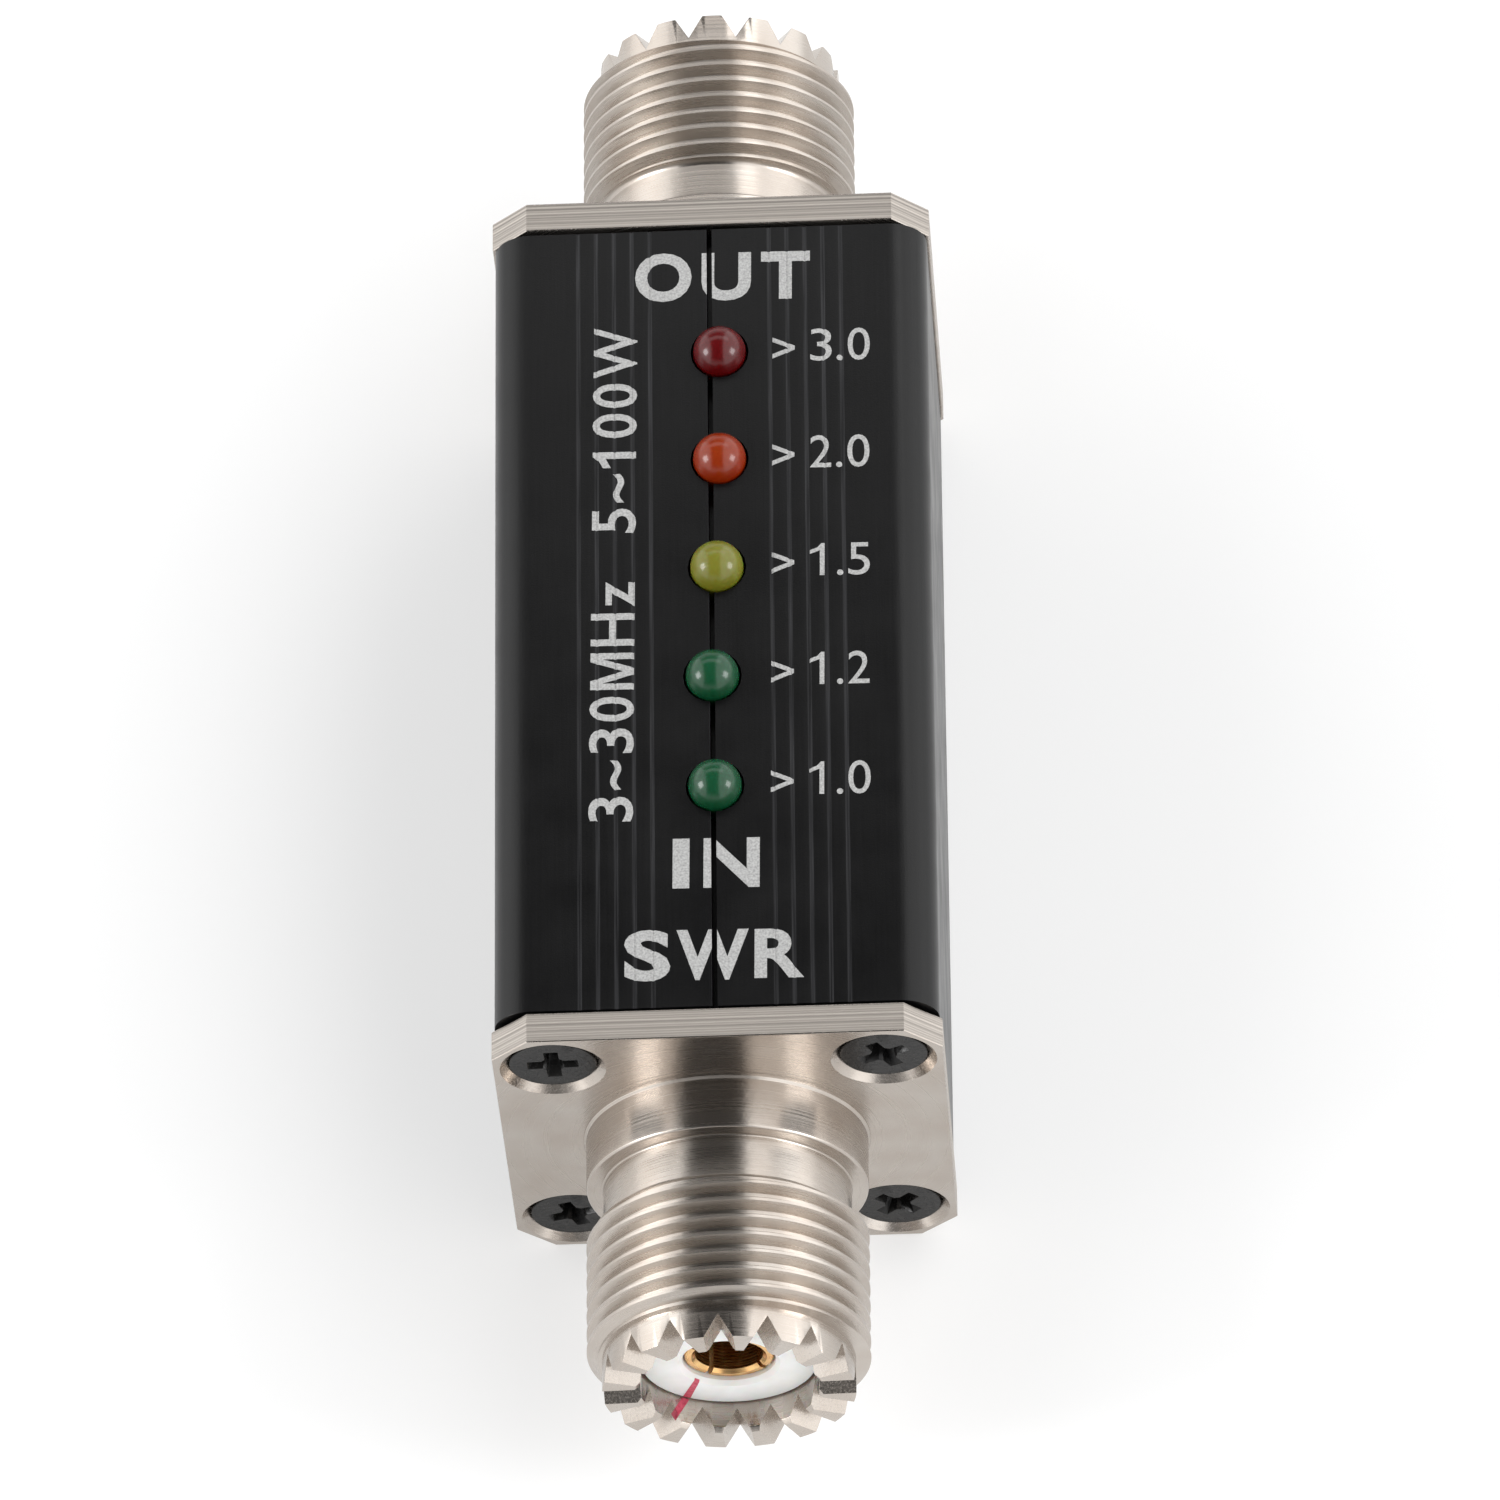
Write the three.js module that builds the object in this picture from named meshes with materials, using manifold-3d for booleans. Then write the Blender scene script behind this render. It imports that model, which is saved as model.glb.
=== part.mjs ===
// Inline standing-wave-ratio meter for HF: a split extruded housing between two threaded
// coaxial sockets, with a row of five lamps along the seam.
// Millimetres, +Z up. +Y runs along the line from the IN socket to the OUT socket, and the
// lamps look up +Z. The origin is under the middle of the part, on what it lies on.

import * as THREE from 'three';
import { mergeVertices } from 'three/addons/utils/BufferGeometryUtils.js';
import Module from 'manifold-3d';

const wasm = await Module();
wasm.setup();

// ---------------------------------------------------------------- driving dimensions

// flanges of the two sockets
const FLANGE_SIZE = 25.0;        // square side
const FLANGE_THICKNESS = 1.8;
const FLANGE_CHAMFER = 2.07;     // at the four corners
const FLANGE_OVERHANG = 0.15;    // flange edge beyond the housing, each side
const SCREW_INSET = 3.32;        // screw centre from the flange edges

// housing
const BODY_LENGTH = 50.0;
const WALL = 2.0;
const CORNER_RADIUS = 2.2;
const SEAM_GAP = 0.3;            // open joint between the two halves
const LAP_LENGTH = 1.0;          // how far the lapped lip reaches past the seam
const LAP_CLEARANCE = 0.15;
const BOSS_RADIUS = 2.7;         // round the screw channels
const GROOVE_COUNT = 5;          // fine grooves on each half, above and below
const GROOVE_FIRST = 3.4;        // from the seam to the nearest groove
const GROOVE_PITCH = 1.02;
const GROOVE_WIDTH = 0.24;
const GROOVE_DEPTH = 0.07;
const END_GAP = 0.2;             // housing end to flange

// screws, M3 countersunk with a cross recess
const SCREW_RADIUS = 1.5;
const SCREW_LENGTH = 8.0;
const SCREW_HEAD_RADIUS = 2.55;
const SCREW_HEAD_RIM = 0.15;
const SCREW_SUNK = 0.3;          // head below the flange face
const SCREW_CLEARANCE = 0.1;     // round the shank and the head
const RECESS_SPAN = 3.0;
const RECESS_WIDTH = 0.75;
const RECESS_DEPTH = 0.8;

// socket barrel, all lengths from the flange's outer face
const COLLAR_RADIUS = 7.9;
const COLLAR_LENGTH = 3.2;
const COLLAR_CHAMFER = 0.3;
const NECK_RADIUS = 6.95;
const NECK_END = 5.8;
const THREAD_RADIUS = 7.9;       // 5/8 inch, 24 turns to the inch
const THREAD_PITCH = 25.4 / 24;
const THREAD_DEPTH = 0.55;
const THREAD_START = 6.25;
const THREAD_TURNS = 7;
const THREAD_STEP = 0.12;        // length of the step down from the last crest
const RING_RADIUS = 7.05;        // plain ring that carries the serrations
const BARREL_LENGTH = 15.7;      // to the tooth tips
const TOOTH_COUNT = 16;
const TOOTH_DEPTH = 1.4;
const TOOTH_GAP = 1.62;          // width of a notch at the tips
const MOUTH_RADIUS = 5.0;
const MOUTH_BEVEL = 0.25;
const IN_NOTCH_TURN = -2;        // degrees from the top to a notch
const OUT_NOTCH_TURN = 11.25;

// insulator and centre contact
const INSULATOR_CLEARANCE = 0.1;
const INSULATOR_RECESS = 1.75;   // its face below the tooth tips
const INSULATOR_HUB_RADIUS = 3.4;
const INSULATOR_HUB_LENGTH = 2.0;   // behind the flange
const INSULATOR_LEAD = 0.25;
const CONTACT_RECESS = 0.4;      // below the insulator's face
const CONTACT_RADIUS = 2.5;
const CONTACT_BORE = 1.9;
const CONTACT_BORE_DEPTH = 8.5;
const CONTACT_FRONT_LENGTH = 9.5;
const CONTACT_STEM_RADIUS = 1.5;
const CONTACT_CLEARANCE = 0.1;
const CONTACT_LEAD = 0.2;
const SLIT_COUNT = 4;
const SLIT_WIDTH = 0.3;
const SLIT_DEPTH = 6.0;
const SLIT_TURN = 56;            // degrees from the top
const CUP_BORE = 1.05;
const CUP_LENGTH = 3.0;

// lamps, 3 mm, on the seam
const LAMP_RADIUS = 1.5;
const LAMP_CLEARANCE = 0.15;
const LAMP_LENGTH = 5.3;
const LAMP_FLANGE_RADIUS = 1.9;
const LAMP_FLANGE_HEIGHT = 1.0;
const LAMP_PITCH = 7.0;
const LAMP_ROW_CENTRE = 2.85;    // middle lamp, along the housing from its middle
const LAMP_WANDER = [0.1, 0.0, 0.3, 0.5, 0.55];   // off the seam, from IN to OUT
const LAMP_COLOURS = [0x0d7a48, 0x0d7a48, 0x9ba23c, 0xcf4a18, 0x8e1418];
const LAMP_LEAD_SIZE = 0.5;
const LAMP_LEAD_SPACING = 2.54;

// circuit board, held between the screw bosses and a pair of ribs
const BOARD_THICKNESS = 1.6;
const BOARD_CLEARANCE = 0.15;    // above and below
const BOARD_SIDE_CLEARANCE = 0.2;
const BOARD_END_CLEARANCE = 2.6; // to the housing's ends
const BOARD_HOLE_CLEARANCE = 0.15;
const RIB_LENGTH = 1.2;
const RIB_THICKNESS = 1.0;
const LEAD_TAIL = 0.8;           // leads past the far side of the board
const MOUNT_GAP = 0.1;           // solder gap under parts on the board

// parts on the board: [across X, along Y, height], and where they sit
const PART_CLEARANCE = 0.25;     // to the ribs that hold the board
const SMALL_PART_INSET = 0.95;   // further in from there
const CHIP_SIZE = [3.9, 8.65, 1.5];
const CHIP_LEG = { count: 7, pitch: 1.27, width: 0.42, reach: 1.05 };
const CHIP_SPACING = 8.0;        // chips, along Y from the nearer transformer
const DIODE = { body: 0.7, cap: 0.8, half: 1.75, capLength: 0.45 };
const DIODE_SPACING = [6.0, 8.0];
const LOAD_SIZE = [6.3, 3.2, 0.6];
const LOAD_SPACING = [5.0, 10.0];
const FILTER_SIZE = [3.2, 1.6, 1.2];
const FILTER_SPACING = [4.0, 10.5];
const CAPACITOR = { radius: 2.5, height: 7.0, pinRadius: 0.25, pinSpacing: 2.0 };
const CAPACITOR_INSET = 0.8;
const CAPACITOR_SPACING = 2.0;
const LAMP_RESISTOR_SIZE = [2.0, 1.25, 0.5];
const LAMP_RESISTOR_OFFSET = 4.0;   // from the seam
const TAP_SPACING = 7.0;         // tap wire, along Y from the voltage transformer

// through line and its two transformers
const LINE_RADIUS = 0.8;
const LINE_CUP_GAP = 0.3;        // line end to cup floor
const SLEEVE_RADIUS = 1.15;
const SLEEVE_CLEARANCE = 0.1;
const SLEEVE_LENGTH = 9.0;
const CORE_OUTER_RADIUS = 4.76;
const CORE_INNER_RADIUS = 2.6;
const CORE_THICKNESS = 3.25;
const CORE_DROP = 1.0;           // core centres below the line
const WIRE_RADIUS = 0.2;
const WIRE_CLEARANCE = 0.15;
const WINDING_TURNS = 10;
const WINDING_ARC = 300;         // degrees of the core that the winding covers
const VOLTAGE_CORE_X = 5.0;
const TAP_WIRE_RADIUS = 0.35;

// ---------------------------------------------------------------- derived values

const HALF_WIDTH = FLANGE_SIZE / 2 - FLANGE_OVERHANG;
const HALF_INSIDE = HALF_WIDTH - WALL;
const HALF_LENGTH = BODY_LENGTH / 2;
const SCREW_OFFSET = FLANGE_SIZE / 2 - SCREW_INSET;
const BOSS_EDGE = SCREW_OFFSET - BOSS_RADIUS;
const FLANGE_INNER = HALF_LENGTH + END_GAP;
const FLANGE_OUTER = FLANGE_INNER + FLANGE_THICKNESS;
const INSULATOR_FACE = BARREL_LENGTH - INSULATOR_RECESS;
const CONTACT_FACE = INSULATOR_FACE - CONTACT_RECESS;
const INSULATOR_BACK = -FLANGE_THICKNESS - INSULATOR_HUB_LENGTH;
const CUP_FLOOR = INSULATOR_BACK - MOUNT_GAP;
const BOARD_TOP = BOSS_EDGE - BOARD_CLEARANCE;
const BOARD_BOTTOM = BOARD_TOP - BOARD_THICKNESS;
const BOARD_HALF_LENGTH = HALF_LENGTH - BOARD_END_CLEARANCE;
const PART_EDGE = HALF_INSIDE - RIB_LENGTH - PART_CLEARANCE;   // parts reach out to here
const LAMP_BASE = HALF_WIDTH + LAMP_RADIUS - LAMP_LENGTH;
const CURRENT_CORE_Y = LAMP_ROW_CENTRE + LAMP_PITCH / 2;
const VOLTAGE_CORE_Y = LAMP_ROW_CENTRE - LAMP_PITCH * 1.5;
const LINE_TAP_Y = VOLTAGE_CORE_Y - TAP_SPACING;   // where the tap wire rises to the board

// ---------------------------------------------------------------- finishes

const finish = (color, roughness, metalness) =>
  new THREE.MeshStandardMaterial({ color, roughness, metalness });

const BLACK_ANODISED = finish(0x1d1d1f, 0.45, 0.6);
const NICKEL_PLATE = finish(0xbeb4a8, 0.28, 1.0);
const BLACK_STEEL = finish(0x121212, 0.35, 0.7);
const WHITE_PTFE = finish(0xeeeeec, 0.5, 0.0);
const GOLD_PLATE = finish(0xd0a45c, 0.3, 1.0);
const TINNED = finish(0xc4c6c8, 0.35, 0.9);
const BOARD_LAMINATE = finish(0x1f5c38, 0.5, 0.0);
const FERRITE = finish(0x3a3b40, 0.7, 0.1);
const ENAMELLED_WIRE = finish(0x9c4a1c, 0.3, 0.6);
const CHIP_BLACK = finish(0x19191b, 0.6, 0.0);
const CERAMIC = finish(0xc9b48c, 0.6, 0.0);
const DIODE_GLASS = finish(0xb0602c, 0.2, 0.0);
const CAN_SLEEVE = finish(0x1c2740, 0.45, 0.0);

// ---------------------------------------------------------------- shape helpers

const radians = THREE.MathUtils.degToRad;

/** Turns a closed geometry into a manifold solid with its faces pointing out. */
function solid(geometry) {
  const bare = geometry.clone();
  bare.deleteAttribute('normal');
  bare.deleteAttribute('uv');
  const merged = mergeVertices(bare, 1e-5);
  const position = merged.attributes.position;
  const corner = [new THREE.Vector3(), new THREE.Vector3(), new THREE.Vector3()];
  const triangles = [];
  let volume = 0;
  for (let i = 0; i < merged.index.count; i += 3) {
    const ids = [0, 1, 2].map((k) => merged.index.getX(i + k));
    if (new Set(ids).size < 3) continue;
    ids.forEach((id, k) => corner[k].fromBufferAttribute(position, id));
    volume += corner[0].dot(corner[1].clone().cross(corner[2]));
    triangles.push(ids);
  }
  if (volume < 0) triangles.forEach((ids) => ids.reverse());
  const triVerts = new Uint32Array(triangles.flat());
  return new wasm.Manifold(new wasm.Mesh({ numProp: 3, vertProperties: position.array, triVerts }));
}

/** Gives a manifold solid back as a geometry. */
function geometryOf(manifold) {
  const mesh = manifold.getMesh();
  const geometry = new THREE.BufferGeometry();
  geometry.setAttribute('position', new THREE.BufferAttribute(mesh.vertProperties, 3));
  geometry.setIndex(new THREE.BufferAttribute(mesh.triVerts, 1));
  geometry.computeVertexNormals();
  return geometry;
}

/** Joins a list of solids. */
const join = (solids) => solids.reduce((sum, next) => sum.add(next));

/** A solid turned about the Y axis, from [radius, y] pairs. */
function turned(profile, segments) {
  return solid(new THREE.LatheGeometry(profile.map(([r, y]) => new THREE.Vector2(r, y)), segments));
}

/** A box from its middle and its sizes. */
function block(centre, size) {
  return solid(new THREE.BoxGeometry(...size).translate(...centre));
}

/** A round rod standing along Z. */
function upright(x, y, z0, z1, radius, segments) {
  const rod = new THREE.CylinderGeometry(radius, radius, z1 - z0, segments);
  return solid(rod.rotateX(Math.PI / 2).translate(x, y, (z0 + z1) / 2));
}

/** A round rod lying along Y. */
function along(x, z, y0, y1, radius, segments) {
  const rod = new THREE.CylinderGeometry(radius, radius, y1 - y0, segments);
  return solid(rod.translate(x, (y0 + y1) / 2, z));
}

/** A plate cut to an outline of x and z, running from y0 to y1. */
function plate(shape, y0, y1, curveSegments = 6) {
  const slab = new THREE.ExtrudeGeometry(shape, { depth: y1 - y0, bevelEnabled: false, curveSegments });
  return solid(slab.rotateX(Math.PI / 2).translate(0, y1, 0));
}

// ---------------------------------------------------------------- assembly

const meter = new THREE.Group();
meter.name = 'swr_meter';
const assembly = new THREE.Group();
assembly.position.z = FLANGE_SIZE / 2;
meter.add(assembly);

/** Adds a named sub-part, in the assembly's frame or a group of it. */
function addPart(name, manifold, material, parent = assembly) {
  const mesh = new THREE.Mesh(geometryOf(manifold), material);
  mesh.name = name;
  parent.add(mesh);
  return mesh;
}

// ---------------------------------------------------------------- housing

/** Outline of the left half: grooved faces, lapped seam, screw bosses and board ribs. */
function halfShellOutline() {
  const h = HALF_WIDTH;
  const lipMiddle = h - WALL / 2;
  const ribTop = BOARD_BOTTOM - BOARD_CLEARANCE;
  const ribBottom = ribTop - RIB_THICKNESS;
  const grooves = Array.from({ length: GROOVE_COUNT }, (_, k) => GROOVE_FIRST + k * GROOVE_PITCH);
  const shape = new THREE.Shape();

  shape.moveTo(-SEAM_GAP / 2, h);
  for (const x of grooves) {
    shape.lineTo(-x + GROOVE_WIDTH / 2, h);
    shape.lineTo(-x, h - GROOVE_DEPTH);
    shape.lineTo(-x - GROOVE_WIDTH / 2, h);
  }
  shape.absarc(-h + CORNER_RADIUS, h - CORNER_RADIUS, CORNER_RADIUS, Math.PI / 2, Math.PI, false);
  shape.absarc(-h + CORNER_RADIUS, -h + CORNER_RADIUS, CORNER_RADIUS, Math.PI, Math.PI * 1.5, false);
  for (const x of grooves.toReversed()) {
    shape.lineTo(-x - GROOVE_WIDTH / 2, -h);
    shape.lineTo(-x, -h + GROOVE_DEPTH);
    shape.lineTo(-x + GROOVE_WIDTH / 2, -h);
  }
  shape.lineTo(-SEAM_GAP / 2, -h);
  shape.lineTo(-SEAM_GAP / 2, -lipMiddle + LAP_CLEARANCE);
  shape.lineTo(LAP_LENGTH - LAP_CLEARANCE, -lipMiddle + LAP_CLEARANCE);
  shape.lineTo(LAP_LENGTH - LAP_CLEARANCE, -HALF_INSIDE);

  shape.lineTo(-BOSS_EDGE, -HALF_INSIDE);
  shape.absarc(-SCREW_OFFSET, -SCREW_OFFSET, BOSS_RADIUS, 0, Math.PI / 2, false);
  shape.lineTo(-HALF_INSIDE, -BOSS_EDGE);
  shape.lineTo(-HALF_INSIDE, -ribTop);
  shape.lineTo(-HALF_INSIDE + RIB_LENGTH, -ribTop);
  shape.lineTo(-HALF_INSIDE + RIB_LENGTH, -ribBottom);
  shape.lineTo(-HALF_INSIDE, -ribBottom);
  shape.lineTo(-HALF_INSIDE, ribBottom);
  shape.lineTo(-HALF_INSIDE + RIB_LENGTH, ribBottom);
  shape.lineTo(-HALF_INSIDE + RIB_LENGTH, ribTop);
  shape.lineTo(-HALF_INSIDE, ribTop);
  shape.lineTo(-HALF_INSIDE, BOSS_EDGE);
  shape.absarc(-SCREW_OFFSET, SCREW_OFFSET, BOSS_RADIUS, -Math.PI / 2, 0, false);
  shape.lineTo(-BOSS_EDGE, HALF_INSIDE);
  shape.lineTo(-LAP_LENGTH, HALF_INSIDE);
  shape.lineTo(-LAP_LENGTH, lipMiddle);
  shape.lineTo(-SEAM_GAP / 2, lipMiddle);

  for (const z of [-SCREW_OFFSET, SCREW_OFFSET]) {
    const channel = new THREE.Path();
    channel.absarc(-SCREW_OFFSET, z, SCREW_RADIUS + SCREW_CLEARANCE, 0, Math.PI * 2, true);
    shape.holes.push(channel);
  }
  return shape;
}

const lamps = LAMP_WANDER.map((x, k) => ({
  x,
  y: LAMP_ROW_CENTRE + (k - (LAMP_WANDER.length - 1) / 2) * LAMP_PITCH,
  colour: LAMP_COLOURS[k],
}));

function buildHousing() {
  const half = plate(halfShellOutline(), -HALF_LENGTH, HALF_LENGTH);
  const windows = join(lamps.map(({ x, y }) =>
    upright(x, y, HALF_INSIDE - WALL, HALF_WIDTH + WALL, LAMP_RADIUS + LAMP_CLEARANCE, 20)));
  addPart('left_half_shell', half.subtract(windows), BLACK_ANODISED);
  addPart('right_half_shell', half.rotate([0, 180, 0]).subtract(windows), BLACK_ANODISED);
}

// ---------------------------------------------------------------- coaxial sockets

/** Flange, collar, neck, thread and serrated ring in one piece; y = 0 is the flange's face. */
function socketShell(notchTurn) {
  const s = FLANGE_SIZE / 2;
  const c = FLANGE_CHAMFER;
  const outline = new THREE.Shape([
    [s - c, s], [-s + c, s], [-s, s - c], [-s, -s + c],
    [-s + c, -s], [s - c, -s], [s, -s + c], [s, s - c],
  ].map(([x, z]) => new THREE.Vector2(x, z)));

  const rootRadius = THREAD_RADIUS - THREAD_DEPTH;
  const profile = [
    [MOUTH_RADIUS, -FLANGE_THICKNESS / 2],
    [COLLAR_RADIUS, -FLANGE_THICKNESS / 2],
    [COLLAR_RADIUS, COLLAR_LENGTH - COLLAR_CHAMFER],
    [COLLAR_RADIUS - COLLAR_CHAMFER, COLLAR_LENGTH],
    [NECK_RADIUS, COLLAR_LENGTH],
    [NECK_RADIUS, NECK_END],
  ];
  for (let turn = 0; turn < THREAD_TURNS; turn += 1) {
    const y = THREAD_START + turn * THREAD_PITCH;
    profile.push([THREAD_RADIUS, y], [rootRadius, y + THREAD_PITCH / 2]);
  }
  const threadEnd = THREAD_START + THREAD_TURNS * THREAD_PITCH;
  profile.push(
    [THREAD_RADIUS, threadEnd],
    [RING_RADIUS, threadEnd + THREAD_STEP],
    [RING_RADIUS, BARREL_LENGTH],
    [MOUTH_RADIUS + MOUTH_BEVEL, BARREL_LENGTH],
    [MOUTH_RADIUS, BARREL_LENGTH - MOUTH_BEVEL],
    [MOUTH_RADIUS, -FLANGE_THICKNESS / 2],
  );

  const notchTaper = TOOTH_GAP / 2 / TOOTH_DEPTH;
  const beyond = TOOTH_DEPTH;   // how far the cutter stands out of the ring
  const notch = new THREE.Shape([
    new THREE.Vector2(0, -TOOTH_DEPTH),
    new THREE.Vector2(notchTaper * (TOOTH_DEPTH + beyond), beyond),
    new THREE.Vector2(-notchTaper * (TOOTH_DEPTH + beyond), beyond),
  ]);
  const cutter = new THREE.ExtrudeGeometry(notch, { depth: RING_RADIUS + beyond, bevelEnabled: false });
  cutter.translate(0, BARREL_LENGTH, 0);
  const notches = Array.from({ length: TOOTH_COUNT }, (_, k) => {
    const turn = radians(notchTurn + (k * 360) / TOOTH_COUNT);
    return solid(cutter.clone().rotateY(turn));
  });

  const seat = SCREW_HEAD_RADIUS + SCREW_SUNK + SCREW_CLEARANCE;
  const hole = SCREW_RADIUS + SCREW_CLEARANCE;
  const countersink = turned([
    [0, -FLANGE_THICKNESS * 2], [hole, -FLANGE_THICKNESS * 2], [hole, hole - seat],
    [seat, 0], [seat, COLLAR_LENGTH], [0, COLLAR_LENGTH],
  ], 20);

  const bored = plate(outline, -FLANGE_THICKNESS, 0)
    .subtract(along(0, 0, -FLANGE_THICKNESS * 2, FLANGE_THICKNESS, MOUTH_RADIUS, 32))
    .add(turned(profile, 32));
  return bored.subtract(join([
    ...notches,
    ...screwCorners().map(([x, z]) => countersink.translate([x, 0, z])),
  ]));
}

function screwCorners() {
  return [[-1, 1], [1, 1], [1, -1], [-1, -1]].map(([x, z]) => [x * SCREW_OFFSET, z * SCREW_OFFSET]);
}

/** PTFE plug that fills the barrel and stands out behind the flange. */
function socketInsulator() {
  const outer = MOUTH_RADIUS - INSULATOR_CLEARANCE;
  const bore = CONTACT_RADIUS + CONTACT_CLEARANCE;
  const stemBore = CONTACT_STEM_RADIUS + CONTACT_CLEARANCE;
  const shoulder = CONTACT_FACE - CONTACT_FRONT_LENGTH - CONTACT_CLEARANCE;
  return turned([
    [bore, shoulder], [bore, INSULATOR_FACE - INSULATOR_LEAD],
    [bore + INSULATOR_LEAD, INSULATOR_FACE], [outer, INSULATOR_FACE],
    [outer, -FLANGE_THICKNESS], [INSULATOR_HUB_RADIUS, -FLANGE_THICKNESS],
    [INSULATOR_HUB_RADIUS, INSULATOR_BACK], [stemBore, INSULATOR_BACK],
    [stemBore, shoulder], [bore, shoulder],
  ], 28);
}

/** Gold-plated socket contact: slit spring fingers in front, half-open solder cup behind. */
function socketContact() {
  const boreEnd = CONTACT_FACE - CONTACT_BORE_DEPTH;
  const shoulder = CONTACT_FACE - CONTACT_FRONT_LENGTH;
  const cupEnd = CUP_FLOOR - CUP_LENGTH;
  const body = turned([
    [0, boreEnd], [CONTACT_BORE, boreEnd], [CONTACT_BORE, CONTACT_FACE - CONTACT_LEAD],
    [CONTACT_BORE + CONTACT_LEAD, CONTACT_FACE], [CONTACT_RADIUS - CONTACT_LEAD / 2, CONTACT_FACE],
    [CONTACT_RADIUS, CONTACT_FACE - CONTACT_LEAD / 2], [CONTACT_RADIUS, shoulder],
    [CONTACT_STEM_RADIUS, shoulder], [CONTACT_STEM_RADIUS, cupEnd],
    [CUP_BORE, cupEnd], [CUP_BORE, CUP_FLOOR], [0, CUP_FLOOR],
  ], 24);
  const slits = Array.from({ length: SLIT_COUNT / 2 }, (_, k) => {
    const slit = new THREE.BoxGeometry(CONTACT_RADIUS * 4, SLIT_DEPTH * 2, SLIT_WIDTH);
    slit.rotateY(radians(SLIT_TURN + (k * 360) / SLIT_COUNT + 90));
    return solid(slit.translate(0, CONTACT_FACE, 0));
  });
  const halfAway = block(
    [0, cupEnd, CONTACT_STEM_RADIUS],
    [CONTACT_STEM_RADIUS * 4, CUP_LENGTH * 2, CONTACT_STEM_RADIUS * 2],
  );
  return body.subtract(join([...slits, halfAway]));
}

/** Countersunk screw, head towards +Y, with a crossed driver recess. */
function flangeScrew(recessTurn) {
  const top = -SCREW_SUNK;
  const rimEnd = top - SCREW_HEAD_RIM;
  const rimRadius = SCREW_HEAD_RADIUS - SCREW_HEAD_RIM;
  const tip = top - SCREW_LENGTH;
  const body = turned([
    [0, top], [SCREW_HEAD_RADIUS - SCREW_HEAD_RIM / 2, top], [rimRadius, rimEnd],
    [SCREW_RADIUS, rimEnd - (rimRadius - SCREW_RADIUS)], [SCREW_RADIUS, tip + SCREW_RADIUS / 2],
    [SCREW_RADIUS / 2, tip], [0, tip],
  ], 16);
  const arms = [0, 90].map((turn) => {
    const arm = new THREE.BoxGeometry(RECESS_SPAN, RECESS_DEPTH * 2, RECESS_WIDTH);
    return solid(arm.rotateY(radians(recessTurn + turn)).translate(0, top, 0));
  });
  return body.subtract(join(arms));
}

/** One complete socket with its four screws, facing +Y from its flange face. */
function addSocket(end, notchTurn) {
  const socket = new THREE.Group();
  socket.position.y = end === 'out' ? FLANGE_OUTER : -FLANGE_OUTER;
  socket.rotation.z = end === 'out' ? 0 : Math.PI;
  assembly.add(socket);
  addPart(`${end}_socket_shell`, socketShell(notchTurn), NICKEL_PLATE, socket);
  addPart(`${end}_insulator`, socketInsulator(), WHITE_PTFE, socket);
  addPart(`${end}_centre_contact`, socketContact(), GOLD_PLATE, socket);
  screwCorners().forEach(([x, z], k) => {
    const screw = flangeScrew(k * 25).translate([x, 0, z]);
    addPart(`${end}_flange_screw_${k + 1}`, screw, BLACK_STEEL, socket);
  });
}

// ---------------------------------------------------------------- lamps

function addLamp({ x, y, colour }, number) {
  const bulge = Array.from({ length: 7 }, (_, k) => {
    const tilt = (k * Math.PI) / 12;
    return [LAMP_RADIUS * Math.cos(tilt), LAMP_LENGTH - LAMP_RADIUS + LAMP_RADIUS * Math.sin(tilt)];
  });
  bulge[bulge.length - 1][0] = 0;
  const lens = turned([
    [0, 0], [LAMP_FLANGE_RADIUS, 0], [LAMP_FLANGE_RADIUS, LAMP_FLANGE_HEIGHT],
    [LAMP_RADIUS, LAMP_FLANGE_HEIGHT], ...bulge,
  ], 20);
  addPart(`lamp_${number}`, lens.rotate([90, 0, 0]).translate([x, y, LAMP_BASE]), finish(colour, 0.25, 0));
  for (const [side, name] of [[-1, 'cathode'], [1, 'anode']]) {
    const bottom = BOARD_BOTTOM - LEAD_TAIL;
    const top = LAMP_BASE - MOUNT_GAP;
    const lead = block(
      [x + (side * LAMP_LEAD_SPACING) / 2, y, (bottom + top) / 2],
      [LAMP_LEAD_SIZE, LAMP_LEAD_SIZE, top - bottom],
    );
    addPart(`lamp_${number}_${name}_lead`, lead, TINNED);
  }
}

// ---------------------------------------------------------------- board and its small parts

const UNDER = BOARD_BOTTOM - MOUNT_GAP;   // mounting plane on the board's lower side
const ABOVE = BOARD_TOP + MOUNT_GAP;      // and on its upper side

/** Packaged quad comparator, legs up to the board's lower side. */
function comparatorChip(x, y) {
  const [width, length, height] = CHIP_SIZE;
  const legs = Array.from({ length: CHIP_LEG.count }, (_, k) => {
    const ly = y + (k - (CHIP_LEG.count - 1) / 2) * CHIP_LEG.pitch;
    const size = [width + CHIP_LEG.reach * 2, CHIP_LEG.width, height / 2];
    return block([x, ly, UNDER - height / 4], size);
  });
  return join([block([x, y, UNDER - height / 2 - MOUNT_GAP], [width, length, height]), ...legs]);
}

/** Cylindrical glass diode with metal end caps, lying along X under the board. */
function glassDiode(x, y) {
  const { body, cap, half, capLength } = DIODE;
  const lying = turned([
    [0, -half], [cap, -half], [cap, -half + capLength], [body, -half + capLength],
    [body, half - capLength], [cap, half - capLength], [cap, half], [0, half],
  ], 14);
  return lying.rotate([0, 0, 90]).translate([x, y, UNDER - cap]);
}

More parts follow.
